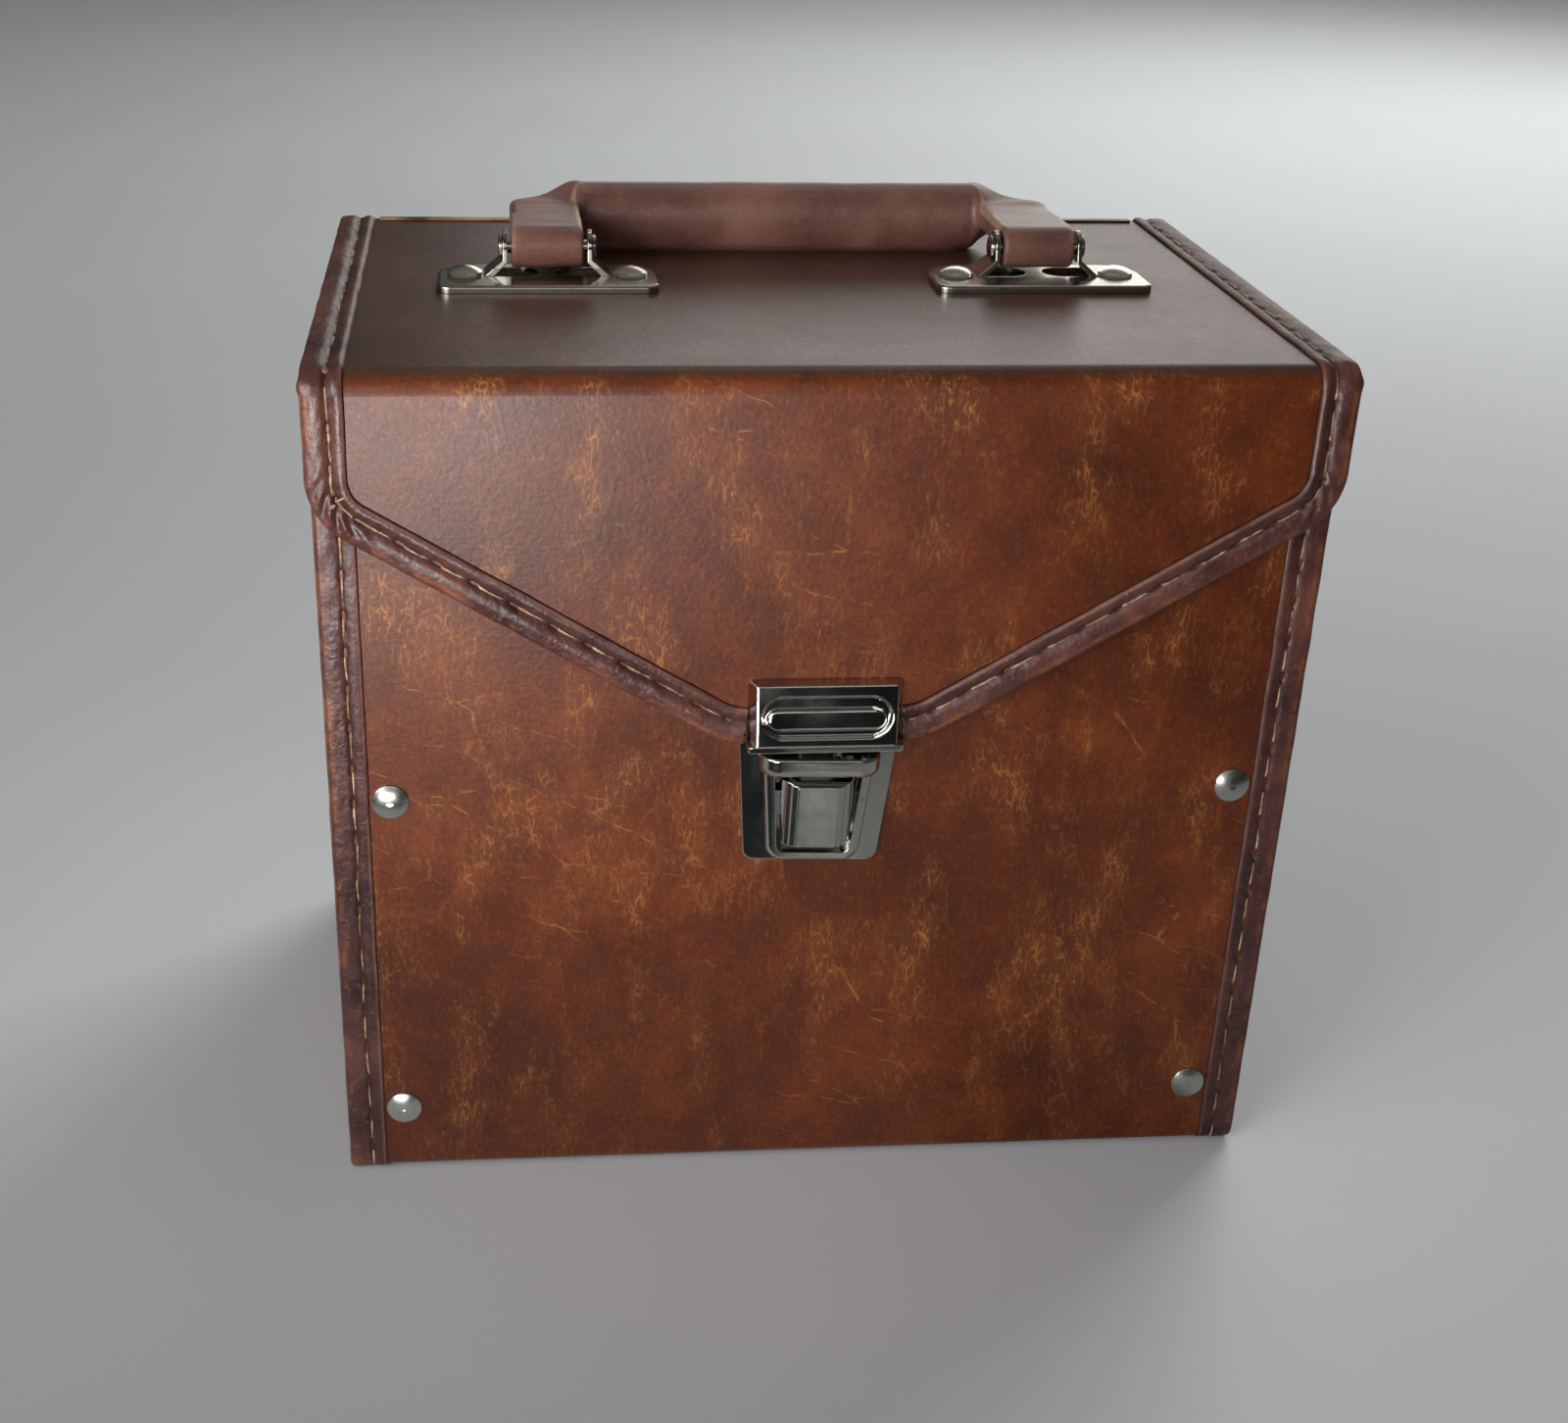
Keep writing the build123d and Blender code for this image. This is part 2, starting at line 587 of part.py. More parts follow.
def tapered(half, low, high, rounding):
    """X-Z outline that narrows downward, with rounded lower corners."""
    top = half + TAPER * (high - LOCK_Z)
    foot = half + TAPER * (low - LOCK_Z)
    outline = make_face(Polyline((-foot, low), (foot, low), (top, high), (-top, high), close=True))
    return fillet(outline.vertices().sort_by(Axis.Y)[:2], rounding)


def prongs(y_low, y_high, clearance=0.0):
    """Four flat prongs of the base plate, or the slots for them."""
    wide = PRONG_WIDE / 2 + clearance
    thick = PRONG_THICK / 2 + clearance
    pieces = []
    for side in (-1, 1):
        for z in PRONG_HEIGHTS:
            x = side * PRONG_X
            pieces.append(block((x - thick, x + thick), (y_low, y_high), (z - wide, z + wide)))
    return Part() + pieces


def make_lock_base_plate():
    """Tapered plate on the front wall, with a window for the button and four prongs."""
    front = FRONT_FACE - PLATE_THICK
    plate = along_y(tapered(PLATE_HALF, PLATE_BOTTOM, PLATE_TOP, PLATE_CORNER_R), front, FRONT_FACE)
    plate = fillet(plate.faces().sort_by(Axis.Y)[0].edges(), PLATE_RIM_R)
    window = tapered(COLLAR_IN_HALF - 0.3, BUTTON_LOW - 1.8, BUTTON_HIGH + 0.6, 1.0)
    plate -= along_y(window, front - 1, FRONT_FACE + 1)
    nose_x = (-CATCH_HALF - 0.8, CATCH_HALF + 0.8)
    plate -= block(nose_x, (front - 1, FRONT_FACE + 1), (BUTTON_HIGH - 1, CATCH_TOP + 0.6))
    inside = FRONT_FACE + WALL + LOCK_SHEET
    plate += prongs(FRONT_FACE - 0.5, inside + 0.5)
    for side in (-1, 1):
        for z in PRONG_HEIGHTS:
            near = side * (PRONG_X - PRONG_THICK / 2)
            far = side * (PRONG_X + PRONG_FOLD)
            fold_x = (min(near, far), max(near, far))
            plate += block(fold_x, (inside, inside + 0.5), (z - PRONG_WIDE / 2, z + PRONG_WIDE / 2))
    return place_lock(plate)


def make_lock_housing():
    """Raised collar round the button, and the rolled pocket that takes the tongue."""
    back = FRONT_FACE - PLATE_THICK
    collar = along_y(tapered(COLLAR_HALF, COLLAR_BOTTOM, COLLAR_TOP, COLLAR_CORNER_R), COLLAR_FRONT, back)
    rim = collar.faces().sort_by(Axis.Y)[0].edges().filter_by(lambda e: e.center().Z < COLLAR_TOP - 1)
    collar = fillet(rim, COLLAR_RIM_R)
    inner = tapered(COLLAR_IN_HALF, COLLAR_BOTTOM + 2.2, COLLAR_TOP + 1, 2.0)
    collar -= along_y(inner, COLLAR_FRONT - 1, back + 1)

    depth = back - POCKET_FRONT
    outline = Pos(0, back) * Rectangle(2 * POCKET_HALF, depth, align=(Align.CENTER, Align.MAX))
    outline = fillet(outline.vertices().sort_by(Axis.Y)[:2], POCKET_CORNER_R)
    pocket = along_z(outline, COLLAR_TOP, POCKET_TOP)
    lower = pocket.faces().sort_by(Axis.Z)[0].edges().filter_by(lambda e: e.center().Y < back - 0.1)
    pocket = fillet(lower, POCKET_ROLL_R)
    upper = pocket.faces().sort_by(Axis.Z)[-1].edges().filter_by(lambda e: e.center().Y < back - 0.1)
    pocket = fillet(upper, POCKET_LIP_R)
    hollow = Pos(0, back + 1) * Rectangle(
        2 * (POCKET_HALF - LOCK_SHEET), depth + 1 - LOCK_SHEET, align=(Align.CENTER, Align.MAX))
    hollow = fillet(hollow.vertices().sort_by(Axis.Y)[:2], POCKET_CORNER_R - LOCK_SHEET)
    space = along_z(hollow, COLLAR_TOP + LOCK_SHEET, POCKET_TOP + 1)
    low = space.faces().sort_by(Axis.Z)[0].edges().filter_by(lambda e: e.center().Y < back - 0.1)
    pocket -= fillet(low, POCKET_ROLL_R - LOCK_SHEET)
    throat = COLLAR_IN_HALF - 0.3
    pocket -= block((-throat, throat), (-74.0, back + 1), (COLLAR_TOP - 1, COLLAR_TOP + 2))
    return place_lock(collar + pocket)


def make_lock_back_plate():
    """Dished plate inside the front wall, which the prongs are closed over."""
    inside = FRONT_FACE + WALL
    outer = along_y(tapered(PLATE_HALF - 0.6, PLATE_BOTTOM + 1.1, 111.2, 2.0), inside, inside + LOCK_SHEET)
    dish = block((-DISH_HALF, DISH_HALF), (inside, inside + DISH_DEEP + LOCK_SHEET), DISH)
    dish = fillet(dish.faces().sort_by(Axis.Y)[-1].edges(), LOCK_SHEET)
    hollow_half = DISH_HALF - 0.7
    hollow_z = (DISH[0] + 0.7, DISH[1] - 0.7)
    plate = outer + dish
    plate -= block((-hollow_half, hollow_half), (inside - 1, inside + DISH_DEEP), hollow_z)
    return place_lock(plate - prongs(inside - 1, inside + 2, SLIT_GAP))


def make_lock_button():
    """Hollow push button: a flat face with stepped bevels down each side."""
    half = BUTTON_HALF + 0.2
    steps = [(4.4, 0.0), (4.7, 0.25), (5.7, 0.4), (6.0, 0.75), (6.9, 1.0), (7.3, 1.6), (half, 2.3)]
    right = [(x, BUTTON_FRONT + drop) for x, drop in steps] + [(half, BUTTON_BACK)]
    left = [(-x, y) for x, y in reversed(right)]
    profile = make_face(Polyline(*right, *left, close=True))
    solid = along_z(profile, BUTTON_LOW, BUTTON_HIGH)
    solid &= along_y(tapered(BUTTON_HALF, BUTTON_LOW, BUTTON_HIGH, 0.8), BUTTON_FRONT - 1, BUTTON_BACK)
    slope = Polyline((BUTTON_FRONT - 1, BUTTON_HIGH + 1), (BUTTON_FRONT - 1, BUTTON_HIGH - 1.7),
                     (BUTTON_FRONT, BUTTON_HIGH - 1.2), (BUTTON_FRONT + 0.6, BUTTON_HIGH - 0.4),
                     (BUTTON_FRONT + 2.2, BUTTON_HIGH + 1), close=True)
    solid -= along_x(make_face(slope), -10, 10)
    inner_half = BUTTON_HALF - BUTTON_WALL - 0.15
    inner_z = (BUTTON_LOW + 0.9, BUTTON_HIGH - 1.6)
    hollow = block((-inner_half, inner_half), (BUTTON_FRONT + BUTTON_WALL, BUTTON_BACK + 1), inner_z)
    return place_lock(solid - hollow)


def make_lock_catch():
    """Catch behind the button: its nose fills the tongue's window and its feet stop it."""
    front = BUTTON_BACK
    back = front + LOCK_SHEET
    plate_x = (-CATCH_PLATE_HALF, CATCH_PLATE_HALF)
    plate = block(plate_x, (front, back), (BUTTON_LOW + 0.5, BUTTON_HIGH))
    plate += block((-CATCH_HALF, CATCH_HALF), (front, back), (BUTTON_HIGH - 1, CATCH_TOP))
    wedge = Polyline((front, CATCH_TOP), (front, CATCH_NOSE_Z), (CATCH_NOSE_FRONT, CATCH_NOSE_Z),
                     (CATCH_NOSE_FRONT, CATCH_NOSE_Z + 0.4), close=True)
    nose_half = CATCH_HALF - 0.2
    plate += along_x(make_face(wedge), -nose_half, nose_half)
    foot_y = FRONT_FACE + 0.05
    thick = 0.6
    for side in (-1, 1):
        near = side * (CATCH_PLATE_HALF - thick)
        leg = sorted((near, side * CATCH_PLATE_HALF))
        foot = sorted((near, side * CATCH_FOOT_HALF))
        plate += block(leg, (back - 0.2, foot_y + thick), CATCH_FOOT)
        plate += block(foot, (foot_y, foot_y + thick), CATCH_FOOT)
    return place_lock(plate)


def make_lock_spring():
    """Bowed leaf spring between the dished plate and the catch."""
    seat = FRONT_FACE + WALL + DISH_DEEP
    crown = BUTTON_BACK + LOCK_SHEET + 0.05
    low, high = SPRING_MIDDLE - SPRING_HALF, SPRING_MIDDLE + SPRING_HALF
    step = 2 * SPRING_THICK
    bow = ThreePointArc((SPRING_FOOT, low), (crown, SPRING_MIDDLE), (SPRING_FOOT, high))
    inner = ThreePointArc((SPRING_FOOT + SPRING_THICK, low + step), (crown + SPRING_THICK, SPRING_MIDDLE),
                          (SPRING_FOOT + SPRING_THICK, high - step))
    face = make_face(Curve() + [bow, inner, Line(bow @ 0, inner @ 0), Line(bow @ 1, inner @ 1)])
    face &= Pos(seat, SPRING_MIDDLE) * Rectangle(20, 20, align=(Align.MAX, Align.CENTER))
    return place_lock(along_x(face, -SPRING_WIDE / 2, SPRING_WIDE / 2))


# ---- hasp ----
def hasp_prongs(y_low, y_high, clearance=0.0):
    """Four flat prongs of the hasp, or the slots for them."""
    wide = PRONG_WIDE / 2 + clearance
    thick = PRONG_THICK / 2 + clearance
    pieces = []
    for side in (-1, 1):
        for z in HASP_PRONG_HEIGHTS:
            x = side * HASP_PRONG_X
            pieces.append(block((x - wide, x + wide), (y_low, y_high), (z - thick, z + thick)))
    return Part() + pieces


def make_hasp_cap():
    """Box-shaped cap with a drawn oval, a bar inside it and a hem to lift the flap by."""
    middle = (HASP_BOTTOM + HASP_TOP) / 2
    high = HASP_TOP - HASP_BOTTOM
    lean = math.radians(HASP_TILT)
    foot = Plane(origin=(0, FLAP_FACE, middle), x_dir=(1, 0, 0), z_dir=(0, -1, 0))
    face = Plane(origin=(0, HASP_FRONT, middle + 0.2), x_dir=(1, 0, 0),
                 z_dir=(0, -math.cos(lean), math.sin(lean)))
    cap = loft([
        foot * RectangleRounded(2 * HASP_HALF, high, 0.6),
        face * RectangleRounded(2 * HASP_FACE_HALF, high - 0.6, 0.6)])
    cap = fillet(cap.faces().sort_by(Axis.Y)[0].edges(), 0.5)
    cap -= loft([face.offset(0.1) * SlotOverall(*OVAL), face.offset(-OVAL_DEEP) * SlotOverall(*OVAL_FLOOR)])
    bar = extrude(face.offset(-OVAL_DEEP - 0.2) * Pos(0, -BAR_DROP) * SlotOverall(*BAR), OVAL_DEEP)
    cap += fillet(bar.faces().sort_by(Axis.Y)[0].edges(), BAR_R)
    hem = block((-HEM_HALF, HEM_HALF), (LIP_FRONT, FLAP_FACE), (HASP_BOTTOM, HASP_BOTTOM + LIP_HIGH))
    cap += fillet(hem.edges().filter_by(Axis.Z), 0.9)
    hollow_half = HASP_FACE_HALF - 1.2
    hollow_z = (HASP_BOTTOM + 1.5, HASP_TOP - 0.9)
    cap -= block((-hollow_half, hollow_half), (HASP_FRONT + 2.3, FLAP_FACE + 1), hollow_z)
    tongue_x = (TONGUE_X - TONGUE_HALF, TONGUE_X + TONGUE_HALF)
    cap -= block(tongue_x, (FLAP_FACE - TONGUE_THICK, FLAP_FACE + 1), (100, 113))
    inside = FLAP_FACE + LID_WALL + HASP_PLATE_THICK
    cap += hasp_prongs(HASP_FRONT + 1.2, inside + 0.4)
    for side in (-1, 1):
        for z in HASP_PRONG_HEIGHTS:
            inward = -PRONG_FOLD if z > middle else PRONG_FOLD
            fold_z = sorted((z - math.copysign(PRONG_THICK / 2, inward), z + inward))
            x = side * HASP_PRONG_X
            cap += block((x - PRONG_WIDE / 2, x + PRONG_WIDE / 2), (inside, inside + 0.4), fold_z)
    return cap


def make_hasp_tongue():
    """Flat tongue under the cap, with a window for the catch's nose."""
    y_range = (FLAP_FACE - TONGUE_THICK, FLAP_FACE)
    x_range = (TONGUE_X - TONGUE_HALF, TONGUE_X + TONGUE_HALF)
    tongue = block(x_range, y_range, (TONGUE_BOTTOM, TONGUE_TOP))
    tongue = fillet(tongue.edges().filter_by(Axis.Y), 1.2)
    tongue -= block((LOCK_X - 4.2, LOCK_X + 5.0), (-80, -70), TONGUE_WINDOW)
    return tongue - hasp_prongs(-80, -70, SLIT_GAP)


def make_hasp_back_plate():
    """Plate inside the flap, which the hasp's prongs are closed over."""
    inside = FLAP_FACE + LID_WALL
    middle = sum(HASP_PRONG_HEIGHTS) / 2
    outline = Pos(0, middle) * RectangleRounded(HASP_PLATE_WIDE, HASP_PLATE_TALL, HASP_PLATE_R)
    plate = along_y(outline, inside, inside + HASP_PLATE_THICK)
    return plate - hasp_prongs(-80, -60, SLIT_GAP)


# ---- the assembly ----
def make_nodes():
    """Every piece of the case by name."""
    side_panel = make_side_panel()
    body_binding = make_body_binding()
    side_lining = make_side_lining()
    lid_binding = make_lid_binding()
    left_place, right_place = bracket_places()
    return {
        "body_wrap": make_body_wrap(),
        "side_panel_left": mirror_x(side_panel),
        "side_panel_right": side_panel,
        "body_binding_left": mirror_x(body_binding),
        "body_binding_right": body_binding,
        "front_cap_rivets": make_cap_rivets(FRONT_FACE, -1),
        "back_cap_rivets": make_cap_rivets(BACK_FACE, 1),
        "rivet_washers": make_rivet_washers(),
        "wrap_lining": make_wrap_lining(),
        "side_lining_left": mirror_x(side_lining),
        "side_lining_right": side_lining,
        "hinge_strip": make_hinge_strip(),
        "lid_board": make_lid_board(),
        "lid_lining": make_lid_lining(),
        "lid_binding_left": mirror_x(lid_binding),
        "lid_binding_right": lid_binding,
        "hasp_cap": make_hasp_cap(),
        "hasp_tongue": make_hasp_tongue(),
        "hasp_back_plate": make_hasp_back_plate(),
        "lock_base_plate": make_lock_base_plate(),
        "lock_housing": make_lock_housing(),
        "lock_back_plate": make_lock_back_plate(),
        "lock_button": make_lock_button(),
        "lock_catch": make_lock_catch(),
        "lock_spring": make_lock_spring(),
        "handle_bracket_left": left_place * make_bracket(),
        "handle_bracket_right": right_place * make_bracket(),
        "bracket_rivets": make_bracket_rivets(),
        "backing_strip_left": make_backing_strip(left_place),
        "backing_strip_right": make_backing_strip(right_place),
        "handle_pin_left": make_pin(left_place),
        "handle_pin_right": make_pin(right_place),
        "handle_cover": make_handle_cover(),
        "handle_core": make_handle_core(),
    }


def export_all():
    """Write one STEP file for each piece."""
    os.makedirs("parts", exist_ok=True)
    for name, shape in make_nodes().items():
        export_step(Pos(0, SHIFT_Y, 0) * shape, os.path.join("parts", name + ".step"))


export_all()
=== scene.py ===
import bisect
import math
import random

import bmesh
import bpy
from mathutils import Matrix, Vector, noise


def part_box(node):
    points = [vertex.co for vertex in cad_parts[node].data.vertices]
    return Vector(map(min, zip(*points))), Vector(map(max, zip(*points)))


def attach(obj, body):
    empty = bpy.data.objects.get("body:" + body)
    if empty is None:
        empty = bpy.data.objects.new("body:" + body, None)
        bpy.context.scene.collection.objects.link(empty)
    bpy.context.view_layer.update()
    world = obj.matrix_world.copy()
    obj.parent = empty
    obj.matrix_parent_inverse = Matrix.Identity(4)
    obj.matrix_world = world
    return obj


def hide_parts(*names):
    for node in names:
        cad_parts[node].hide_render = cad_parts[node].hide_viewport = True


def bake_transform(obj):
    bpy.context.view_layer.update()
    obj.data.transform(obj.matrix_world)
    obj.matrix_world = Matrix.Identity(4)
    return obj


# Record carrying case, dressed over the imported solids. +X is right, +Y is back and +Z is up.
# Pieces are made in millimetres, which build_mesh turns into metres. Materials, lamps and the
# floor are in metres.

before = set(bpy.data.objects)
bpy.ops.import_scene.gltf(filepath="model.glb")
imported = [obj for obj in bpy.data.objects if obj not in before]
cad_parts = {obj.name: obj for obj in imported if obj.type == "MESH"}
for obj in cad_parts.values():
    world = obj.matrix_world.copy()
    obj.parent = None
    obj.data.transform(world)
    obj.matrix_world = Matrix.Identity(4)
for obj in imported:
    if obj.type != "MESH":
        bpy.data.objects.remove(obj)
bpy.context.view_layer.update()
MM = 0.001
QUARTER = math.pi / 2
RNG = random.Random(45)


# ---- sizes read from the frame, in millimetres ----
def node_box(node):
    """Lowest and highest corners of a CAD node."""
    low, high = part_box(node)
    return Vector(low) / MM, Vector(high) / MM


LID_LOW, LID_HIGH = node_box("lid_board")
WRAP_LOW = node_box("body_wrap")[0]
PIN_LOW, PIN_HIGH = node_box("handle_pin_right")
LID_EDGE = node_box("lid_binding_right")[1].x
BODY_EDGE = node_box("body_binding_right")[1].x
LID_TOP = LID_HIGH.z
FLAP_FACE = LID_LOW.y
BACK_FACE = LID_HIGH.y
FRONT_FACE = WRAP_LOW.y
UNDERSIDE = WRAP_LOW.z
PIN_Y = (PIN_LOW.y + PIN_HIGH.y) / 2
PIN_Z = (PIN_LOW.z + PIN_HIGH.z) / 2

# ---- sizes that repeat the drawing's, in millimetres ----
DRAWN_FLAP_FACE = -72.6  # where the flap's face is in the drawing, before the part is centred
LEATHER = 0.5            # thickness of the binding
LID_WALL = 1.9           # thickness of the board that the lid's binding folds over
WALL = 2.0               # and of the body's
BEND_R = 3.0             # outer radius of the body's bends
LID_BEND_R = 4.8         # and of the lid's
FRONT_TOP = 189.0        # top edge of the body's front
SIDE_TOP = 190.2         # top edge of the body's back and sides
BINDING = 8.8            # width of the binding on the outer face
FLAP_SLOPE = 0.60        # rise of the flap's slanting edges
FLAP_APEX = 98.2         # height at which they would meet
FLAP_BOTTOM = 111.3      # height of the flap's edge under the hasp
FLAP_CORNER_R = 15.0
FLAP_POINT_R = 20.0
HASP_HALF = 17.1         # the flap's binding stops this far from the middle
HINGE_HALF = 97.4        # half length of the hinge strip
HINGE_ON_LID = 3.0       # how far the strip reaches over the lid
HINGE_ON_BACK = 22.0     # how far it reaches down the back
STITCH_PITCH = 9.0
STITCH_AT = 5.4          # distance of the stitch line from the bound edge


# ---- materials ----
def srgb(red, green, blue):
    """Linear colour from 0 to 255 values as seen on a screen."""
    return tuple((v / 255 / 12.92) if v < 10 else ((v / 255 + 0.055) / 1.055) ** 2.4
                 for v in (red, green, blue)) + (1.0,)


class Look:
    """A procedural material under construction."""

    def __init__(self, name, **shader):
        self.material = bpy.data.materials.new(name)
        self.material.use_nodes = True
        self.tree = self.material.node_tree
        self.shader = self.tree.nodes["Principled BSDF"]
        for key, value in shader.items():
            self.shader.inputs[key.replace("_", " ")].default_value = value
        self.place = self.node("TexCoord").outputs["Object"]

    def node(self, kind, settings=None, **inputs):
        """Add a node, and give its sockets values or links."""
        made = self.tree.nodes.new("ShaderNode" + kind)
        for key, value in (settings or {}).items():
            setattr(made, key, value)
        for key, value in inputs.items():
            self.feed(made.inputs[int(key[1:]) if key[1:].isdigit() else key], value)
        return made

    def feed(self, socket, value):
        """Link an output to a socket, or set a plain value on it."""
        if isinstance(value, bpy.types.NodeSocket):
            self.tree.links.new(value, socket)
        else:
            socket.default_value = value

    def math(self, operation, first, second=0.0):
        return self.node("Math", {"operation": operation}, _0=first, _1=second).outputs[0]

    def plus(self, first, second):
        return self.math("ADD", first, second)

    def times(self, first, second):
        return self.math("MULTIPLY", first, second)

    def larger(self, first, second):
        return self.math("MAXIMUM", first, second)

    def vector(self, operation, first=None, **inputs):
        made = self.node("VectorMath", {"operation": operation}, _0=first, **inputs)
        return made.outputs[0]

    def axes(self, place=None):
        """The three parts of a coordinate."""
        return self.node("SeparateXYZ", _0=place or self.place).outputs

    def scaled(self, size, place=None):
        """Coordinates stretched by a factor on each axis."""
        return self.node("Mapping", Vector=place or self.place, Scale=size).outputs[0]

    def noise(self, scale, detail=4.0, rough=0.55, place=None, twist=0.0):
        """Cloudy value about a half, with scale lumps in a metre."""
        made = self.node("TexNoise", Vector=place or self.place, Scale=scale, Detail=detail,
                         Roughness=rough, Distortion=twist)
        return made.outputs["Fac"]

    def warped(self, scale, reach, place=None):
        """Coordinates pushed about by noise, over a reach in metres."""
        place = place or self.place
        push = self.node("TexNoise", Vector=place, Scale=scale, Detail=4.0).outputs["Color"]
        centred = self.vector("SUBTRACT", push, _1=(0.5, 0.5, 0.5))
        return self.vector("ADD", place, _1=self.vector("SCALE", centred, Scale=reach))

    def unrolled(self, across):
        """Flat coordinates on a bent sheet: across it, and down it round its bends."""
        axes = self.axes()
        if across == "Y":
            return self.node("CombineXYZ", _0=self.plus(axes["Y"], axes["X"]),
                             _1=axes["Z"]).outputs[0]
        return self.node("CombineXYZ", _0=axes["X"],
                         _1=self.plus(axes["Y"], axes["Z"])).outputs[0]

    def cells(self, scale, place=None, feature="DISTANCE_TO_EDGE", space="3D"):
        """Distance in a net of cells, with scale cells in a metre."""
        made = self.node("TexVoronoi", {"feature": feature, "voronoi_dimensions": space},
                         Vector=place or self.place, Scale=scale)
        return made.outputs["Distance"]

    def remap(self, value, low, high, to_low=0.0, to_high=1.0):
        made = self.node("MapRange", _0=value, _1=low, _2=high, _3=to_low, _4=to_high)
        return made.outputs[0]

    def ramp(self, value, *stops):
        """Colour from a list of (position, colour) stops."""
        made = self.node("ValToRGB", Fac=value)
        elements = made.color_ramp.elements
        while len(elements) < len(stops):
            elements.new(0.5)
        for element, (place, colour) in zip(elements, stops):
            element.position = place
            element.color = colour
        return made.outputs[0]

    def mix(self, factor, first, second):
        """Colour between two."""
        made = self.node("Mix", {"data_type": "RGBA"}, _0=factor, _6=first, _7=second)
        return made.outputs[2]

    def attribute(self, name):
        """What mesh code wrote on the piece's points."""
        return self.node("Attribute", {"attribute_name": name}).outputs["Fac"]

    def bump(self, height, distance, strength=1.0, below=None):
        """Relief of a depth in metres, on top of the relief below it."""
        inputs = {"Height": height, "Distance": distance, "Strength": strength}
        if below is not None:
            inputs["Normal"] = below
        return self.node("Bump", **inputs).outputs[0]

    def finish(self, colour, roughness=None, normal=None):
        """Link what varies to the shader, and give back the material."""
        for key, value in (("Base Color", colour), ("Roughness", roughness), ("Normal", normal)):
            if value is not None:
                self.feed(self.shader.inputs[key], value)
        return self.material


FADE_FROM = LID_TOP - 2.2        # the lid's covering begins to fade at this height
FADE_FULL = LID_TOP - 0.7
FADED = 0.66                     # how much of the colour is lost
STRAY_TURN = -1.22               # radians that single cracks lean from the other veins
CLOUD_SHARE = 0.42               # share of large clouds in the ground colour's tone
BLOTCH_SHARE = 0.32              # and of smaller blotches; the rest is speckle
VEIN_STRENGTH = 0.62
VEIN_GLOW = 0.07                 # how much a bundle of veins tints the ground round it


def vein_lines(look, sheet, scale, squash, bend, line):
    """Hair-thin lines of a net whose meshes are drawn out down the sheet.

    bend is how far they wander, in metres, and line their thickness as a share of a mesh."""
    place = look.scaled((1.0, squash, 1.0), look.warped(scale * 0.9, bend, sheet))
    return look.remap(look.cells(scale, place, space="2D"), 0.0, line, 1.0, 0.0)


def marbling(look, sheet, cloud):
    """Golden veins, and the drawn-out bundles that most of them lie in."""
    def long_noise(scale, detail, rough, squash):
        return look.noise(scale, detail, rough, look.scaled((1.0, squash, 1.0), sheet))

    turned = look.node("Mapping", Vector=sheet, Rotation=(0.0, 0.0, STRAY_TURN)).outputs[0]
    hairs = vein_lines(look, sheet, 620.0, 0.24, 0.0014, 0.10)
    cracks = vein_lines(look, sheet, 250.0, 0.30, 0.0036, 0.045)
    strays = vein_lines(look, turned, 95.0, 0.22, 0.0060, 0.018)
    runs = look.scaled((1.0, 0.34, 1.0), look.warped(60.0, 0.016, sheet))
    river = look.remap(look.cells(40.0, runs, space="2D"), 0.02, 0.16, 1.0, 0.0)
    patch = look.remap(long_noise(60.0, 4.0, 0.62, 0.45), 0.53, 0.66)
    gaps = look.remap(long_noise(330.0, 3.0, 0.6, 0.5), 0.43, 0.60)
    present = look.remap(look.noise(24.0, 3.0, 0.5, sheet), 0.46, 0.62)
    bundle = look.larger(look.times(river, present), patch)
    flecks = look.remap(long_noise(1150.0, 2.0, 0.6, 0.40), 0.56, 0.70)
    dust = look.times(flecks, look.plus(look.times(bundle, 0.70), 0.16))
    fibre = look.times(look.times(hairs, gaps), bundle)
    thin = look.larger(bundle, look.times(present, 0.30))
    crack = look.times(look.times(cracks, gaps), thin)
    stray = look.times(look.times(strays, gaps), look.remap(cloud, 0.50, 0.60))
    return look.larger(look.larger(fibre, crack), look.larger(stray, dust)), bundle


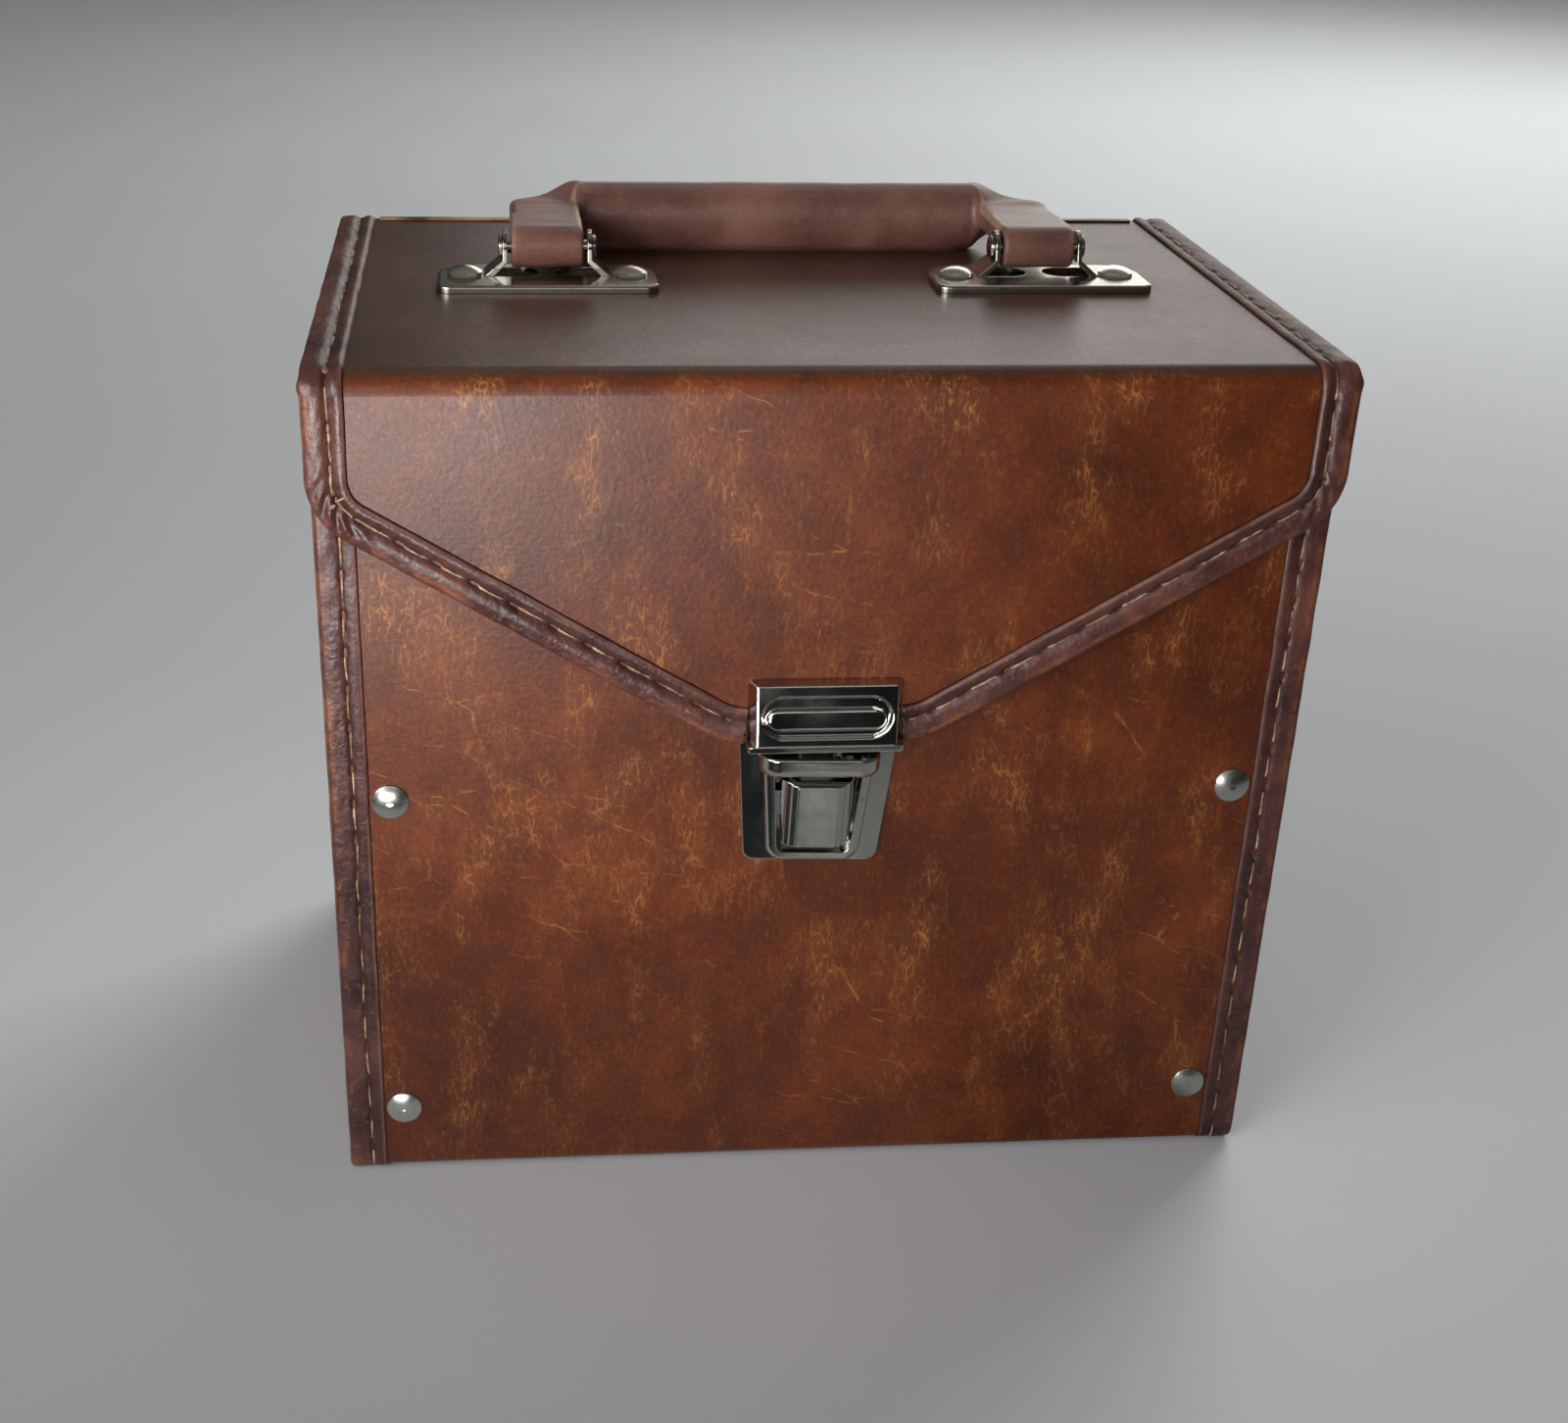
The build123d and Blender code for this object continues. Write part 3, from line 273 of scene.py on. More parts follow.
def leatherette(name, across, browns, faded=None, worn=None):
    """Marbled vinyl cloth: cloudy browns under bundles of short golden fibres.

    faded is the colour that the lid's top goes to, and worn the cloth under a rubbed edge."""
    deep, mid, warm, vein = browns
    look = Look(name, Specular_IOR_Level=0.44, Coat_Weight=0.08, Coat_Roughness=0.22)
    sheet = look.unrolled(across)
    cloud = look.noise(17.0, 5.0, 0.6, sheet, twist=0.5)
    blotch = look.noise(80.0, 5.0, 0.65, look.scaled((1.0, 0.8, 1.0), sheet))
    speck = look.noise(760.0, 3.0, 0.75, sheet)
    tone = look.plus(look.times(cloud, CLOUD_SHARE), look.times(blotch, BLOTCH_SHARE))
    tone = look.plus(tone, look.times(speck, 1.0 - CLOUD_SHARE - BLOTCH_SHARE))
    base = look.ramp(tone, (0.38, deep), (0.49, mid), (0.62, warm))
    veins, bundle = marbling(look, sheet, cloud)
    glow = look.mix(look.times(bundle, VEIN_GLOW), base, vein)
    colour = look.mix(look.times(veins, VEIN_STRENGTH), glow, vein)
    if faded:
        top = look.remap(look.axes()["Z"], FADE_FROM * MM, FADE_FULL * MM, 0.0, FADED)
        colour = look.mix(top, colour, faded)
    if worn:
        bare = look.remap(look.noise(38.0, 4.0, 0.6, sheet), 0.44, 0.54)
        colour = look.mix(look.times(look.attribute("wear"), bare), colour, worn)

    grain = look.noise(1500.0, 3.0, 0.6)
    pebble = look.cells(900.0, feature="SMOOTH_F1")
    normal = look.bump(pebble, 0.00010, 0.30)
    normal = look.bump(grain, 0.00008, 0.30, normal)
    normal = look.bump(veins, 0.00010, -0.5, normal)
    normal = look.bump(look.noise(28.0, 2.0), 0.0012, 0.10, normal)
    uneven = look.plus(look.times(grain, 0.5), look.times(cloud, 0.5))
    return look.finish(colour, look.remap(uneven, 0.35, 0.65, 0.30, 0.44), normal)


TOP_DULLNESS = 0.20              # roughness that handling adds on top of the lid


def binding_leather():
    """Dark red-brown split leather, worn at the fold, with painted shade in the stitch groove and
    along the inner edge.
    """
    look = Look("binding_leather", Specular_IOR_Level=0.5, Coat_Weight=0.24, Coat_Roughness=0.24)
    base = look.ramp(look.noise(48.0, 5.0, 0.65), (0.34, srgb(54, 28, 25)),
                     (0.5, srgb(86, 49, 44)), (0.68, srgb(116, 70, 58)))
    speck = look.remap(look.noise(640.0, 4.0, 0.75), 0.56, 0.68)
    colour = look.mix(look.times(speck, 0.5), base, srgb(148, 92, 66))
    scuff = look.remap(look.noise(150.0, 4.0, 0.7, twist=0.8), 0.46, 0.60)
    worn = look.times(look.attribute("wear"), scuff)
    colour = look.mix(look.times(worn, 0.85), colour, srgb(168, 96, 50))
    # painted shade: darker in the stitch groove, at the holes and along the inner edge
    colour = look.mix(look.times(look.attribute("crease"), 0.85), colour, srgb(24, 11, 9))
    patchy = look.remap(look.noise(90.0, 3.0), 0.36, 0.52, 0.08, 0.42)
    # pale line by the inner cut edge: partly the cut edge's own colour, partly a painted
    # highlight
    colour = look.mix(look.times(look.attribute("rim"), patchy), colour, srgb(170, 122, 108))
    grain = look.cells(900.0, look.warped(420.0, 0.0016), "SMOOTH_F1")
    wrinkle = look.noise(190.0, 4.0, 0.65, twist=0.6)
    normal = look.bump(look.noise(2100.0, 2.0, 0.6), 0.00010, 0.35)
    normal = look.bump(grain, 0.00024, 0.46, normal)
    normal = look.bump(wrinkle, 0.0006, 0.32, normal)
    rubbed = look.remap(look.axes()["Z"], LID_TOP * MM, (LID_TOP + 0.4) * MM, 0.0, TOP_DULLNESS)
    rough = look.plus(look.remap(wrinkle, 0.35, 0.65, 0.30, 0.48), rubbed)
    return look.finish(colour, rough, normal)


def handle_leather():
    """Smooth brown strap leather with raw cut edges."""
    look = Look("handle_leather", Specular_IOR_Level=0.5, Coat_Weight=0.30, Coat_Roughness=0.36)
    cloud = look.noise(60.0, 5.0, 0.6)
    base = look.ramp(cloud, (0.35, srgb(114, 75, 67)), (0.5, srgb(132, 89, 79)),
                     (0.66, srgb(150, 106, 94)))
    speck = look.remap(look.noise(1150.0, 3.0, 0.7), 0.54, 0.68)
    colour = look.mix(look.times(speck, 0.30), base, srgb(168, 130, 114))
    pits = look.remap(look.noise(900.0, 3.0, 0.7, look.scaled((1.0, 1.1, 0.9))), 0.58, 0.70)
    colour = look.mix(look.times(pits, 0.30), colour, srgb(58, 32, 27))
    patchy = look.remap(look.noise(300.0, 4.0), 0.25, 0.5, 0.55, 1.0)
    colour = look.mix(look.times(look.attribute("cut"), patchy), colour, srgb(186, 152, 124))
    # painted shade along the seam and at the grip's ends
    colour = look.mix(look.times(look.attribute("crease"), 0.8), colour, srgb(34, 18, 16))
    normal = look.bump(look.noise(760.0, 4.0, 0.65), 0.00030, 0.55)
    normal = look.bump(look.noise(120.0, 3.0), 0.0008, 0.25, normal)
    return look.finish(colour, look.remap(cloud, 0.35, 0.65, 0.36, 0.48), normal)


def metal(name, tint, low, high, tarnish=0.35, rounding=0.0004, flat=0.0):
    """Old plated metal: finely scratched and dull in patches, its edges rubbed round.

    low and high bound its roughness. flat is how far a dome's facing is turned towards up."""
    look = Look(name, Metallic=1.0)
    facing = look.node("Bevel", {"samples": 6}, Radius=rounding).outputs[0]
    if flat:
        upright = look.node("VectorTransform", {"vector_type": "NORMAL", "convert_from": "OBJECT",
                                                "convert_to": "WORLD"},
                            Vector=(0.0, 0.0, flat)).outputs[0]
        held = look.vector("SCALE", facing, Scale=1.0 - flat)
        facing = look.vector("NORMALIZE", look.vector("ADD", held, _1=upright))
    haze = look.noise(90.0, 5.0, 0.65)
    spots = look.remap(look.noise(520.0, 4.0, 0.7), 0.60, 0.72)
    scratch = look.noise(900.0, 2.0, 0.5, look.scaled((0.12, 1.0, 1.0)))
    dull = tuple(0.55 * v for v in tint) + (1.0,)
    colour = look.mix(look.times(look.remap(haze, 0.45, 0.7), tarnish), tint + (1.0,), dull)
    colour = look.mix(look.times(spots, tarnish), colour, srgb(110, 96, 74))
    rough = look.remap(haze, 0.35, 0.68, low, high)
    return look.finish(colour, rough, look.bump(scratch, 0.00003, 0.5, facing))


def linen_thread():
    """Waxed linen thread, browned where it sinks into its holes."""
    look = Look("thread", Roughness=0.7, Sheen_Weight=0.2)
    colour = look.ramp(look.noise(210.0, 4.0, 0.7), (0.38, srgb(106, 70, 46)),
                       (0.5, srgb(174, 135, 96)), (0.61, srgb(216, 186, 150)))
    # darker towards the ends of each stitch, where it sinks into its holes
    colour = look.mix(look.times(look.attribute("soil"), 0.8), colour, srgb(92, 50, 24))
    fibre = look.noise(2600.0, 2.0, 0.6)
    return look.finish(colour, None, look.bump(fibre, 0.0001, 0.5))


def lining_paper():
    """Brown lining paper with faint fibres and scuffs."""
    look = Look("lining_paper", Specular_IOR_Level=0.25)
    fibre = look.noise(500.0, 4.0, 0.7, look.scaled((1.0, 1.0, 0.25)))
    base = look.ramp(look.noise(22.0, 5.0, 0.6), (0.35, srgb(164, 140, 108)),
                     (0.65, srgb(190, 168, 134)))
    colour = look.mix(look.remap(fibre, 0.45, 0.75, 0.0, 0.4), base, srgb(120, 96, 68))
    rough = look.remap(fibre, 0.3, 0.7, 0.75, 0.95)
    return look.finish(colour, rough, look.bump(fibre, 0.0001, 0.4))


def cord_fibre():
    """Twisted cord inside the grip."""
    look = Look("cord_fibre", Roughness=0.9)
    twist = look.node("TexWave", {"wave_type": "BANDS", "bands_direction": "DIAGONAL"},
                      Vector=look.place, Scale=260.0, Distortion=1.0).outputs["Fac"]
    colour = look.ramp(twist, (0.2, srgb(140, 116, 82)), (0.8, srgb(196, 174, 136)))
    return look.finish(colour, None, look.bump(twist, 0.0006, 0.8))


# Painted dark reflection: a dark card, seen by the case and not by the camera, is painted on the
# floor in front of these lines, left and right of a step, so that the case's metal mirrors dark
# there and the floor's bounce onto the case is dimmed. A veil of it lies right of a second step.
CARD_STEP = 0.018
CARD_STEP_SOFT = 0.01
CARD_NEAR = -0.168
CARD_FAR = -0.29
CARD_SOFT = 0.03
PAINTED_REFLECTION_BLACK = srgb(24, 32, 40)
VEIL_STEP = 0.036
VEIL_SOFT = 0.004
VEIL = 0.45


def paper_floor():
    """Pale paper under the case, with a painted dark card that only the case's reflections and
    bounce light see.
    """
    look = Look("floor_paper_painted_reflection", Roughness=0.75, Specular_IOR_Level=0.3)
    paper = look.ramp(look.noise(3.0, 3.0, 0.5), (0.3, srgb(239, 242, 244)),
                      (0.7, srgb(243, 247, 249)))
    axes = look.axes()
    edge = look.remap(axes["X"], CARD_STEP - CARD_STEP_SOFT, CARD_STEP + CARD_STEP_SOFT,
                      CARD_NEAR, CARD_FAR)
    card = look.remap(look.math("SUBTRACT", edge, axes["Y"]), 0.0, CARD_SOFT)
    veil = look.remap(axes["X"], VEIL_STEP - VEIL_SOFT, VEIL_STEP + VEIL_SOFT, 0.0, VEIL)
    unseen = look.math("SUBTRACT", 1.0, look.node("LightPath").outputs["Is Camera Ray"])
    # painted dark reflection and dimmed bounce: the card is dark to every ray but the camera's
    dark = look.times(look.larger(card, veil), unseen)
    return look.finish(look.mix(dark, paper, PAINTED_REFLECTION_BLACK))


BROWNS = (srgb(70, 29, 13), srgb(95, 40, 13), srgb(126, 59, 17), srgb(204, 132, 66))
STRIP_BROWNS = (srgb(62, 32, 24), srgb(92, 52, 34), srgb(118, 72, 42), srgb(190, 146, 96))
BOARD = leatherette("leatherette", "X", BROWNS, faded=srgb(66, 52, 44))
SIDE_BOARD = leatherette("leatherette_side", "Y", BROWNS)
STRIP = leatherette("leatherette_strip", "X", STRIP_BROWNS, worn=srgb(206, 170, 112))
BINDING_LEATHER = binding_leather()
HANDLE_LEATHER = handle_leather()
BRIGHT = metal("nickel_bright", (0.62, 0.61, 0.56), 0.06, 0.15)
SATIN = metal("nickel_satin", (0.57, 0.54, 0.46), 0.10, 0.22, 0.5)
CAP = metal("nickel_cap", (0.60, 0.60, 0.55), 0.22, 0.34, 0.4)
RIVET = metal("nickel_rivet", (0.82, 0.77, 0.66), 0.10, 0.18, 0.16, 0.0002, 0.12)
STEEL = metal("plain_steel", (0.42, 0.42, 0.42), 0.30, 0.50, 0.6)
THREAD = linen_thread()
LINING = lining_paper()
CORD = cord_fibre()


# ---- mesh helpers ----
def add_floats(mesh, **columns):
    """Give a mesh one named number per point."""
    for key, values in columns.items():
        mesh.attributes.new(key, "FLOAT", "POINT").data.foreach_set("value", values)


def build_mesh(name, points, faces, material, **columns):
    """Closed smooth mesh object from points in millimetres."""
    mesh = bpy.data.meshes.new(name)
    mesh.from_pydata([Vector(p) * MM for p in points], [], faces)
    add_floats(mesh, **columns)
    mesh.materials.append(material)
    made = bmesh.new()
    made.from_mesh(mesh)
    bmesh.ops.recalc_face_normals(made, faces=made.faces)
    made.to_mesh(mesh)
    made.free()
    mesh.shade_smooth()
    piece = bpy.data.objects.new(name, mesh)
    bpy.context.scene.collection.objects.link(piece)
    return piece


def ring_faces(rings, size, first=0):
    """Quads between successive rings of a closed tube, with a face at each end."""
    faces = []
    for r in range(rings - 1):
        low, high = first + r * size, first + (r + 1) * size
        for i in range(size):
            after = (i + 1) % size
            faces.append((low + i, low + after, high + after, high + i))
    faces.append(tuple(first + i for i in reversed(range(size))))
    faces.append(tuple(first + (rings - 1) * size + i for i in range(size)))
    return faces


def bell(value, middle, reach):
    """Smooth bump: 1 at its middle and a third of that at its reach."""
    return math.exp(-((value - middle) / reach) ** 2)


def smooth_curve(*knots):
    """Function through (x, y) knots, with its neighbours' slope at each (Catmull-Rom)."""
    xs = [k[0] for k in knots]
    ys = [k[1] for k in knots]

    def slope(i):
        low, high = max(i - 1, 0), min(i + 1, len(xs) - 1)
        return (ys[high] - ys[low]) / (xs[high] - xs[low])

    def value(x):
        i = min(max(bisect.bisect_right(xs, x) - 1, 0), len(xs) - 2)
        span = xs[i + 1] - xs[i]
        t = min(max((x - xs[i]) / span, 0.0), 1.0)
        a = (2 * t ** 3 - 3 * t ** 2 + 1) * ys[i] + (t ** 3 - 2 * t ** 2 + t) * span * slope(i)
        return a + (3 * t ** 2 - 2 * t ** 3) * ys[i + 1] + (t ** 3 - t ** 2) * span * slope(i + 1)

    return value


class Path:
    """Flat curve of straight and round runs, walked by distance."""

    def __init__(self, start, heading, runs):
        self.runs = []
        a, b = start
        travelled = 0.0
        for length, turn in runs:
            self.runs.append((travelled, a, b, math.radians(heading), length, math.radians(turn)))
            a, b, _ = self.step(self.runs[-1], length)
            heading += turn
            travelled += length
        self.length = travelled

    @staticmethod
    def step(run, distance):
        _, a, b, heading, length, turn = run
        if abs(turn) < 1e-9:
            return a + distance * math.cos(heading), b + distance * math.sin(heading), heading
        radius = length / turn
        angle = turn * distance / length
        return (a + radius * (math.sin(heading + angle) - math.sin(heading)),
                b - radius * (math.cos(heading + angle) - math.cos(heading)), heading + angle)

    def at(self, distance):
        """Point and heading at a distance from the start."""
        run = next((r for r in reversed(self.runs) if r[0] <= distance), self.runs[0])
        return self.step(run, distance - run[0])


# ---- the bent sheets and their bound edges ----
FLAP_RUN = 120.0         # straight run down the flap, longer than the flap
EDGE_START = 0.5         # the lid's binding begins this far in from the back edge


def lid_sheet():
    """Outer face of the lid board, from the back edge over the top and down the flap."""
    top = BACK_FACE - FLAP_FACE - LID_BEND_R
    return Path((BACK_FACE, LID_TOP), 180,
                [(top, 0), (LID_BEND_R * QUARTER, 90), (FLAP_RUN, 0)])


def body_sheet():
    """Outer face of the body wrap, from the front's top down, under and up the back."""
    deep = BACK_FACE - FRONT_FACE - 2 * BEND_R
    front = FRONT_TOP - UNDERSIDE - BEND_R
    back = SIDE_TOP - UNDERSIDE - BEND_R
    bend = (BEND_R * QUARTER, 90)
    return Path((FRONT_FACE, FRONT_TOP), 270, [(front, 0), bend, (deep, 0), bend, (back, 0)])


def lid_edge(sheet):
    """Right edge of the unrolled lid: x against distance from the back edge, downward."""
    flap_start = sheet.runs[2][0]
    z_to_run = LID_TOP - LID_BEND_R + flap_start
    turn = 90 - math.degrees(math.atan(FLAP_SLOPE))
    corner = FLAP_CORNER_R * math.tan(math.radians(turn / 2))
    point_turn = 90 - turn
    point = FLAP_POINT_R * math.tan(math.radians(point_turn / 2))
    corner_z = FLAP_APEX + FLAP_SLOPE * LID_EDGE
    point_x = (FLAP_BOTTOM - FLAP_APEX) / FLAP_SLOPE
    slant = math.hypot(LID_EDGE - point_x, corner_z - FLAP_BOTTOM) - corner - point
    return Path((LID_EDGE, -EDGE_START), 270, [
        (z_to_run - corner_z - corner - EDGE_START, 0),
        (FLAP_CORNER_R * math.radians(turn), -turn),
        (slant, 0),
        (FLAP_POINT_R * math.radians(point_turn), -point_turn)])


def body_edge(sheet):
    """Right edge of the unrolled body wrap."""
    return Path((BODY_EDGE, 0.0), 270, [(sheet.length, 0)])


# ---- bindings ----
# Height of the leather over the sheet, by distance in from the bound edge. The left side swells
# more than the right.
CROWNS = {
    ("lid", "left"): smooth_curve(
        (1.2, 0.62), (2.6, 0.86), (4.0, 0.74), (4.9, 0.36), (5.4, 0.20), (5.9, 0.36),
        (6.8, 0.76), (7.7, 0.82), (8.4, 0.56), (8.9, 0.10)),
    ("lid", "right"): smooth_curve(
        (1.2, 0.50), (2.6, 0.62), (4.0, 0.56), (4.9, 0.38), (5.4, 0.24), (5.9, 0.36),
        (6.8, 0.72), (7.7, 0.82), (8.4, 0.56), (8.9, 0.10)),
    ("body", "left"): smooth_curve(
        (1.2, 0.48), (3.0, 0.50), (4.6, 0.40), (5.4, 0.16), (6.1, 0.38), (7.2, 0.50),
        (8.3, 0.38), (8.9, 0.08)),
    ("body", "right"): smooth_curve(
        (1.2, 0.28), (3.0, 0.32), (4.6, 0.28), (5.4, 0.12), (6.1, 0.24), (7.2, 0.30),
        (8.3, 0.22), (8.9, 0.06)),
}
# Knots of thread: near what, how far ahead of it, distance in from the edge, half length along
# the edge and half length across it.
KNOTS = {
    "lid_binding_left": [("bend", 1.6, 5.4, 0.72, 0.78), ("corner", -1.0, 6.5, 0.46, 1.40),
                         ("corner", -0.2, 4.2, 0.60, 0.80)],
}

LEATHER_STEP = 0.75      # distance between the leather's sections
FACE_STEPS = 30          # points of a section over the outer face
ROLL_TURNS = 11          # divisions of its roll round the edge
ROLL_START = 1.25        # distance from the edge at which the roll begins
STITCH_GAP = 1.1         # thread hidden between two stitches
FIRST_STITCH = 3.0
LAST_STITCH = 6.0        # no stitch starts nearer to the end than this
STITCH_RINGS = 26
KNOT_RINGS = 7
THREAD_SIDES = 8
PLY_TWIST = 0.9          # distance in which the two plies change places
THREAD_TAIL = 0.40       # the part of a stitch after which it sinks into the leather

# The gathers at the flap's corner.
GATHER_ALONG = 9.0       # reach along the edge
GATHER_AT = 3.0          # middle, in from the edge
GATHER_ACROSS = 1.9      # reach across
GATHER_PITCH = 5.2
GATHER_LEAN = 1.5
GATHER_DEPTH = 0.46
GATHER_DROP = 0.14


class Binding:
    """Leather folded over one edge of a bent sheet, with its row of stitches."""

    def __init__(self, part, word, body, sheet, edge, wall, stop):
        self.name, self.body = part + "_binding_" + word, body
        self.side = -1 if word == "left" else 1
        self.sheet, self.edge, self.wall = sheet, edge, wall
        self.crown, self.stop = CROWNS[part, word], stop
        # The lid's binding gathers at the flap's corner and swells just under the lid's bend.
        on_lid = part == "lid"
        self.fold_at = edge.runs[1][0] + edge.runs[1][4] / 2 if on_lid else None
        self.nub_at = sheet.runs[1][0] + 5.0 if on_lid else None
        self.seed = Vector((self.side * 40.0, wall * 10.0, 0.0))
        self.stitches = self.plan_stitches()

    def plan_stitches(self):
        """Start and end distance of each stitch, uneven as hand-guided sewing is."""
        stitches = []
        at = FIRST_STITCH + RNG.uniform(0, 2)
        while at < self.stop - LAST_STITCH:
            pitch = STITCH_PITCH * RNG.uniform(0.93, 1.07)
            ends = (at, at + pitch - STITCH_GAP)
            stitches.append(ends if self.side < 0 else (ends[1], ends[0]))
            at += pitch
        return stitches

    def space(self, s, u, n):
        """Point at a distance along the edge, in from it, and above the sheet's face."""
        x, q, heading = self.edge.at(s)
        inward = heading - QUARTER
        x += u * math.cos(inward)
        q += u * math.sin(inward)
        y, z, run = self.sheet.at(max(-q, 0.0))
        out = run - QUARTER
        spare = min(-q, 0.0)
        height = max(z + n * math.sin(out), 0.0)
        return Vector((self.side * x, y + n * math.cos(out) - spare, height))

    def folds(self, s, u):
        """Gathers where the leather is drawn round the flap's corner."""
        if self.fold_at is None:
            return 0.0
        place = bell(s, self.fold_at + 1.0, GATHER_ALONG) * bell(u, GATHER_AT, GATHER_ACROSS)
        slant = s + GATHER_LEAN * (u - GATHER_AT)
        wave = GATHER_DEPTH * math.sin(2 * math.pi * slant / GATHER_PITCH) - GATHER_DROP
        return (1.0 if self.side < 0 else 0.3) * place * wave

    def height(self, s, u):
        """Height of the leather's outer face, and how much painted shade it has."""
        spot = Vector((s * 0.16, u * 0.55, 0.0)) + self.seed
        level = self.crown(u) + 0.10 * noise.noise(spot) + 0.04 * noise.noise(spot * 4.1)
        # Painted shade: the stitch groove, the holes, the slope inside the stitches and the gap
        # along the inner edge are darkened in colour.
        crease = 0.75 * bell(u, STITCH_AT, 0.42)
        for start, end in self.near_stitches(s):
            for at in (start, end):
                hole = bell(s, at, 0.75) * bell(u, STITCH_AT, 0.6)
                level -= 0.30 * hole
                crease += 0.7 * hole
            level -= 0.10 * bell(s, (start + end) / 2, 2.4) * bell(u, STITCH_AT, 1.5)
        crease += 0.34 * bell(u, 6.8, 0.9) + bell(u, BINDING, 0.22)
        return level + self.folds(s, u), min(crease, 1.0)

    def near_stitches(self, s):
        return [e for e in self.stitches if abs((e[0] + e[1]) / 2 - s) < 8.0]

    def ring(self, s):
        """Section of the folded leather: (u, n, painted shade, wear, pale cut rim with painted
        highlight) round the closed C.
        """
        wide = BINDING + 0.22 * noise.noise(Vector((s * 0.09, 3.0, 0.0)) + self.seed)
        under = -self.wall - LEATHER
        outer = []
        for i in range(FACE_STEPS):
            u = wide - (wide - ROLL_START) * i / (FACE_STEPS - 1)
            level, crease = self.height(s, u)
            wear = 0.6 * bell(u, ROLL_START, 0.8)
            # pale line by the inner cut edge: its own colour and a painted highlight
            rim = bell(u, wide - 0.62, 0.26)
            outer.append((u, level if i else 0.0, crease, wear, rim))
        rim_top = outer[-1][1]
        middle, half = (rim_top + under) / 2, (rim_top - under) / 2
        bulge = 0.16 * noise.noise(Vector((s * 0.13, 9.0, 0.0)) + self.seed)
        if self.nub_at:
            bulge += 0.50 * bell(s, self.nub_at, 1.5)
        roll = []
        for i in range(1, ROLL_TURNS):
            angle = math.pi * i / ROLL_TURNS
            u = ROLL_START - (ROLL_START + bulge * math.sin(angle)) * math.sin(angle) ** 0.8
            roll.append((u, middle + half * math.cos(angle), 0.0, math.sin(angle) ** 2, 0.0))
        # The inside of the leather, and its hidden face round the board.
        inner = [(ROLL_START, under, 0, 0, 0), (BINDING * 0.5, under, 0, 0, 0),
                 (BINDING - 0.3, under, 0, 0.2, 0), (BINDING, under + 0.25, 0.8, 0, 0),
                 (BINDING, -self.wall + 0.1, 0, 0, 0)]
        hidden = [(1.3, -self.wall + 0.1, 0, 0, 0), (1.3, -0.1, 0, 0, 0),
                  (wide - 0.2, -0.1, 0, 0, 0)]
        return outer + roll + inner + hidden

    def make(self):
        """The leather, and its stitches as one piece."""
        count = int(self.stop / LEATHER_STEP) + 1
        points, marks = [], []
        size = 0
        for i in range(count):
            s = self.stop * i / (count - 1)
            ring = self.ring(s)
            size = len(ring)
            frayed = i == count - 1 and self.fold_at is not None
            for u, n, *mark in ring:
                along = s + (RNG.uniform(-0.5, 0.3) if frayed else 0.0)
                points.append(self.space(along, u, n))
                marks.append(mark)
        crease, wear, rim = zip(*marks)
        leather = build_mesh(self.name + "_leather", points, ring_faces(count, size),
                             BINDING_LEATHER, crease=crease, wear=wear, rim=rim)
        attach(leather, self.body)
        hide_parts(self.name)
        self.make_stitches()

    def make_stitches(self):
        """Two-ply thread from hole to hole, thick where each stitch comes up."""
        points, faces, soil = [], [], []
        for begin, end in self.stitches:
            drift = RNG.uniform(-0.22, 0.22)
            skew = RNG.uniform(-0.3, 0.3)
            full = RNG.uniform(0.26, 0.34)
            sink = 0.95 if not self.fold_at or begin > self.fold_at else 0.35
            for r in range(STITCH_RINGS):
                t = r / (STITCH_RINGS - 1)
                s = begin + (end - begin) * t
                u = STITCH_AT + drift + skew * (t - 0.5)
                rise = self.height(s, STITCH_AT)[0] + 0.04 + 0.20 * math.sin(math.pi * t)
                rise -= 0.5 * (math.exp(-t / 0.05) + math.exp((t - 1) / 0.07))
                rise -= sink * max(t - THREAD_TAIL, 0.0)
                thick = full * (1 - 0.55 * t ** 0.8)
                for k in range(THREAD_SIDES):
                    angle = 2 * math.pi * k / THREAD_SIDES
                    twist = 2 * angle - 2 * math.pi * s / PLY_TWIST
                    ply = thick * (1 + 0.20 * math.cos(twist))
                    points.append(self.space(s, u + ply * math.cos(angle),
                                             rise + ply * math.sin(angle)))
                    soil.append(math.exp(-t / 0.06) + math.exp((t - 1) / 0.22))
            faces += ring_faces(STITCH_RINGS, THREAD_SIDES,
                                len(points) - STITCH_RINGS * THREAD_SIDES)
        for knot in KNOTS.get(self.name, []):
            self.add_knot(points, faces, soil, *knot)
        stitches = build_mesh(self.name + "_stitches", points, faces, THREAD, soil=soil)
        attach(stitches, self.body)

    def add_knot(self, points, faces, soil, place, ahead, u, along, across):
        """Small ball or bar of thread, ahead of the bend or of the flap's corner."""
        s = ahead + (self.fold_at if place == "corner" else self.sheet.runs[1][0])
        rise = self.height(s, u)[0] + 0.2
        for r in range(KNOT_RINGS):
            t = -math.cos(math.pi * r / (KNOT_RINGS - 1))
            swell = max(math.sqrt(max(1 - t * t, 0.0)), 0.05)
            for k in range(THREAD_SIDES):
                angle = 2 * math.pi * k / THREAD_SIDES
                lift = 0.8 * min(along, across) * swell * math.sin(angle)
                points.append(self.space(s + along * swell * math.cos(angle), u + across * t,
                                         rise + lift))
                soil.append(0.0)
        faces += ring_faces(KNOT_RINGS, THREAD_SIDES, len(points) - KNOT_RINGS * THREAD_SIDES)


def make_bindings():
    """Bound edges of the lid and the body, left and right."""
    lid = lid_sheet()
    flap = lid_edge(lid)
    wrap = body_sheet()
    side_edge = body_edge(wrap)
    hasp_gap = HASP_HALF - flap.at(flap.length)[0]
    for word in ("left", "right"):
        Binding("lid", word, "lid", lid, flap, LID_WALL, flap.length - max(hasp_gap, 0.0)).make()
        Binding("body", word, "case", wrap, side_edge, WALL, wrap.length).make()


# ---- hinge strip ----
STRIP_THICK = 0.5
STRIP_CORNER_R = 1.0
STRIP_ACROSS = 60        # points along the hinge
STRIP_STATIONS = 56      # points over the bend
STRIP_WORN_TO = 12.0     # the strip is rubbed bare left of this


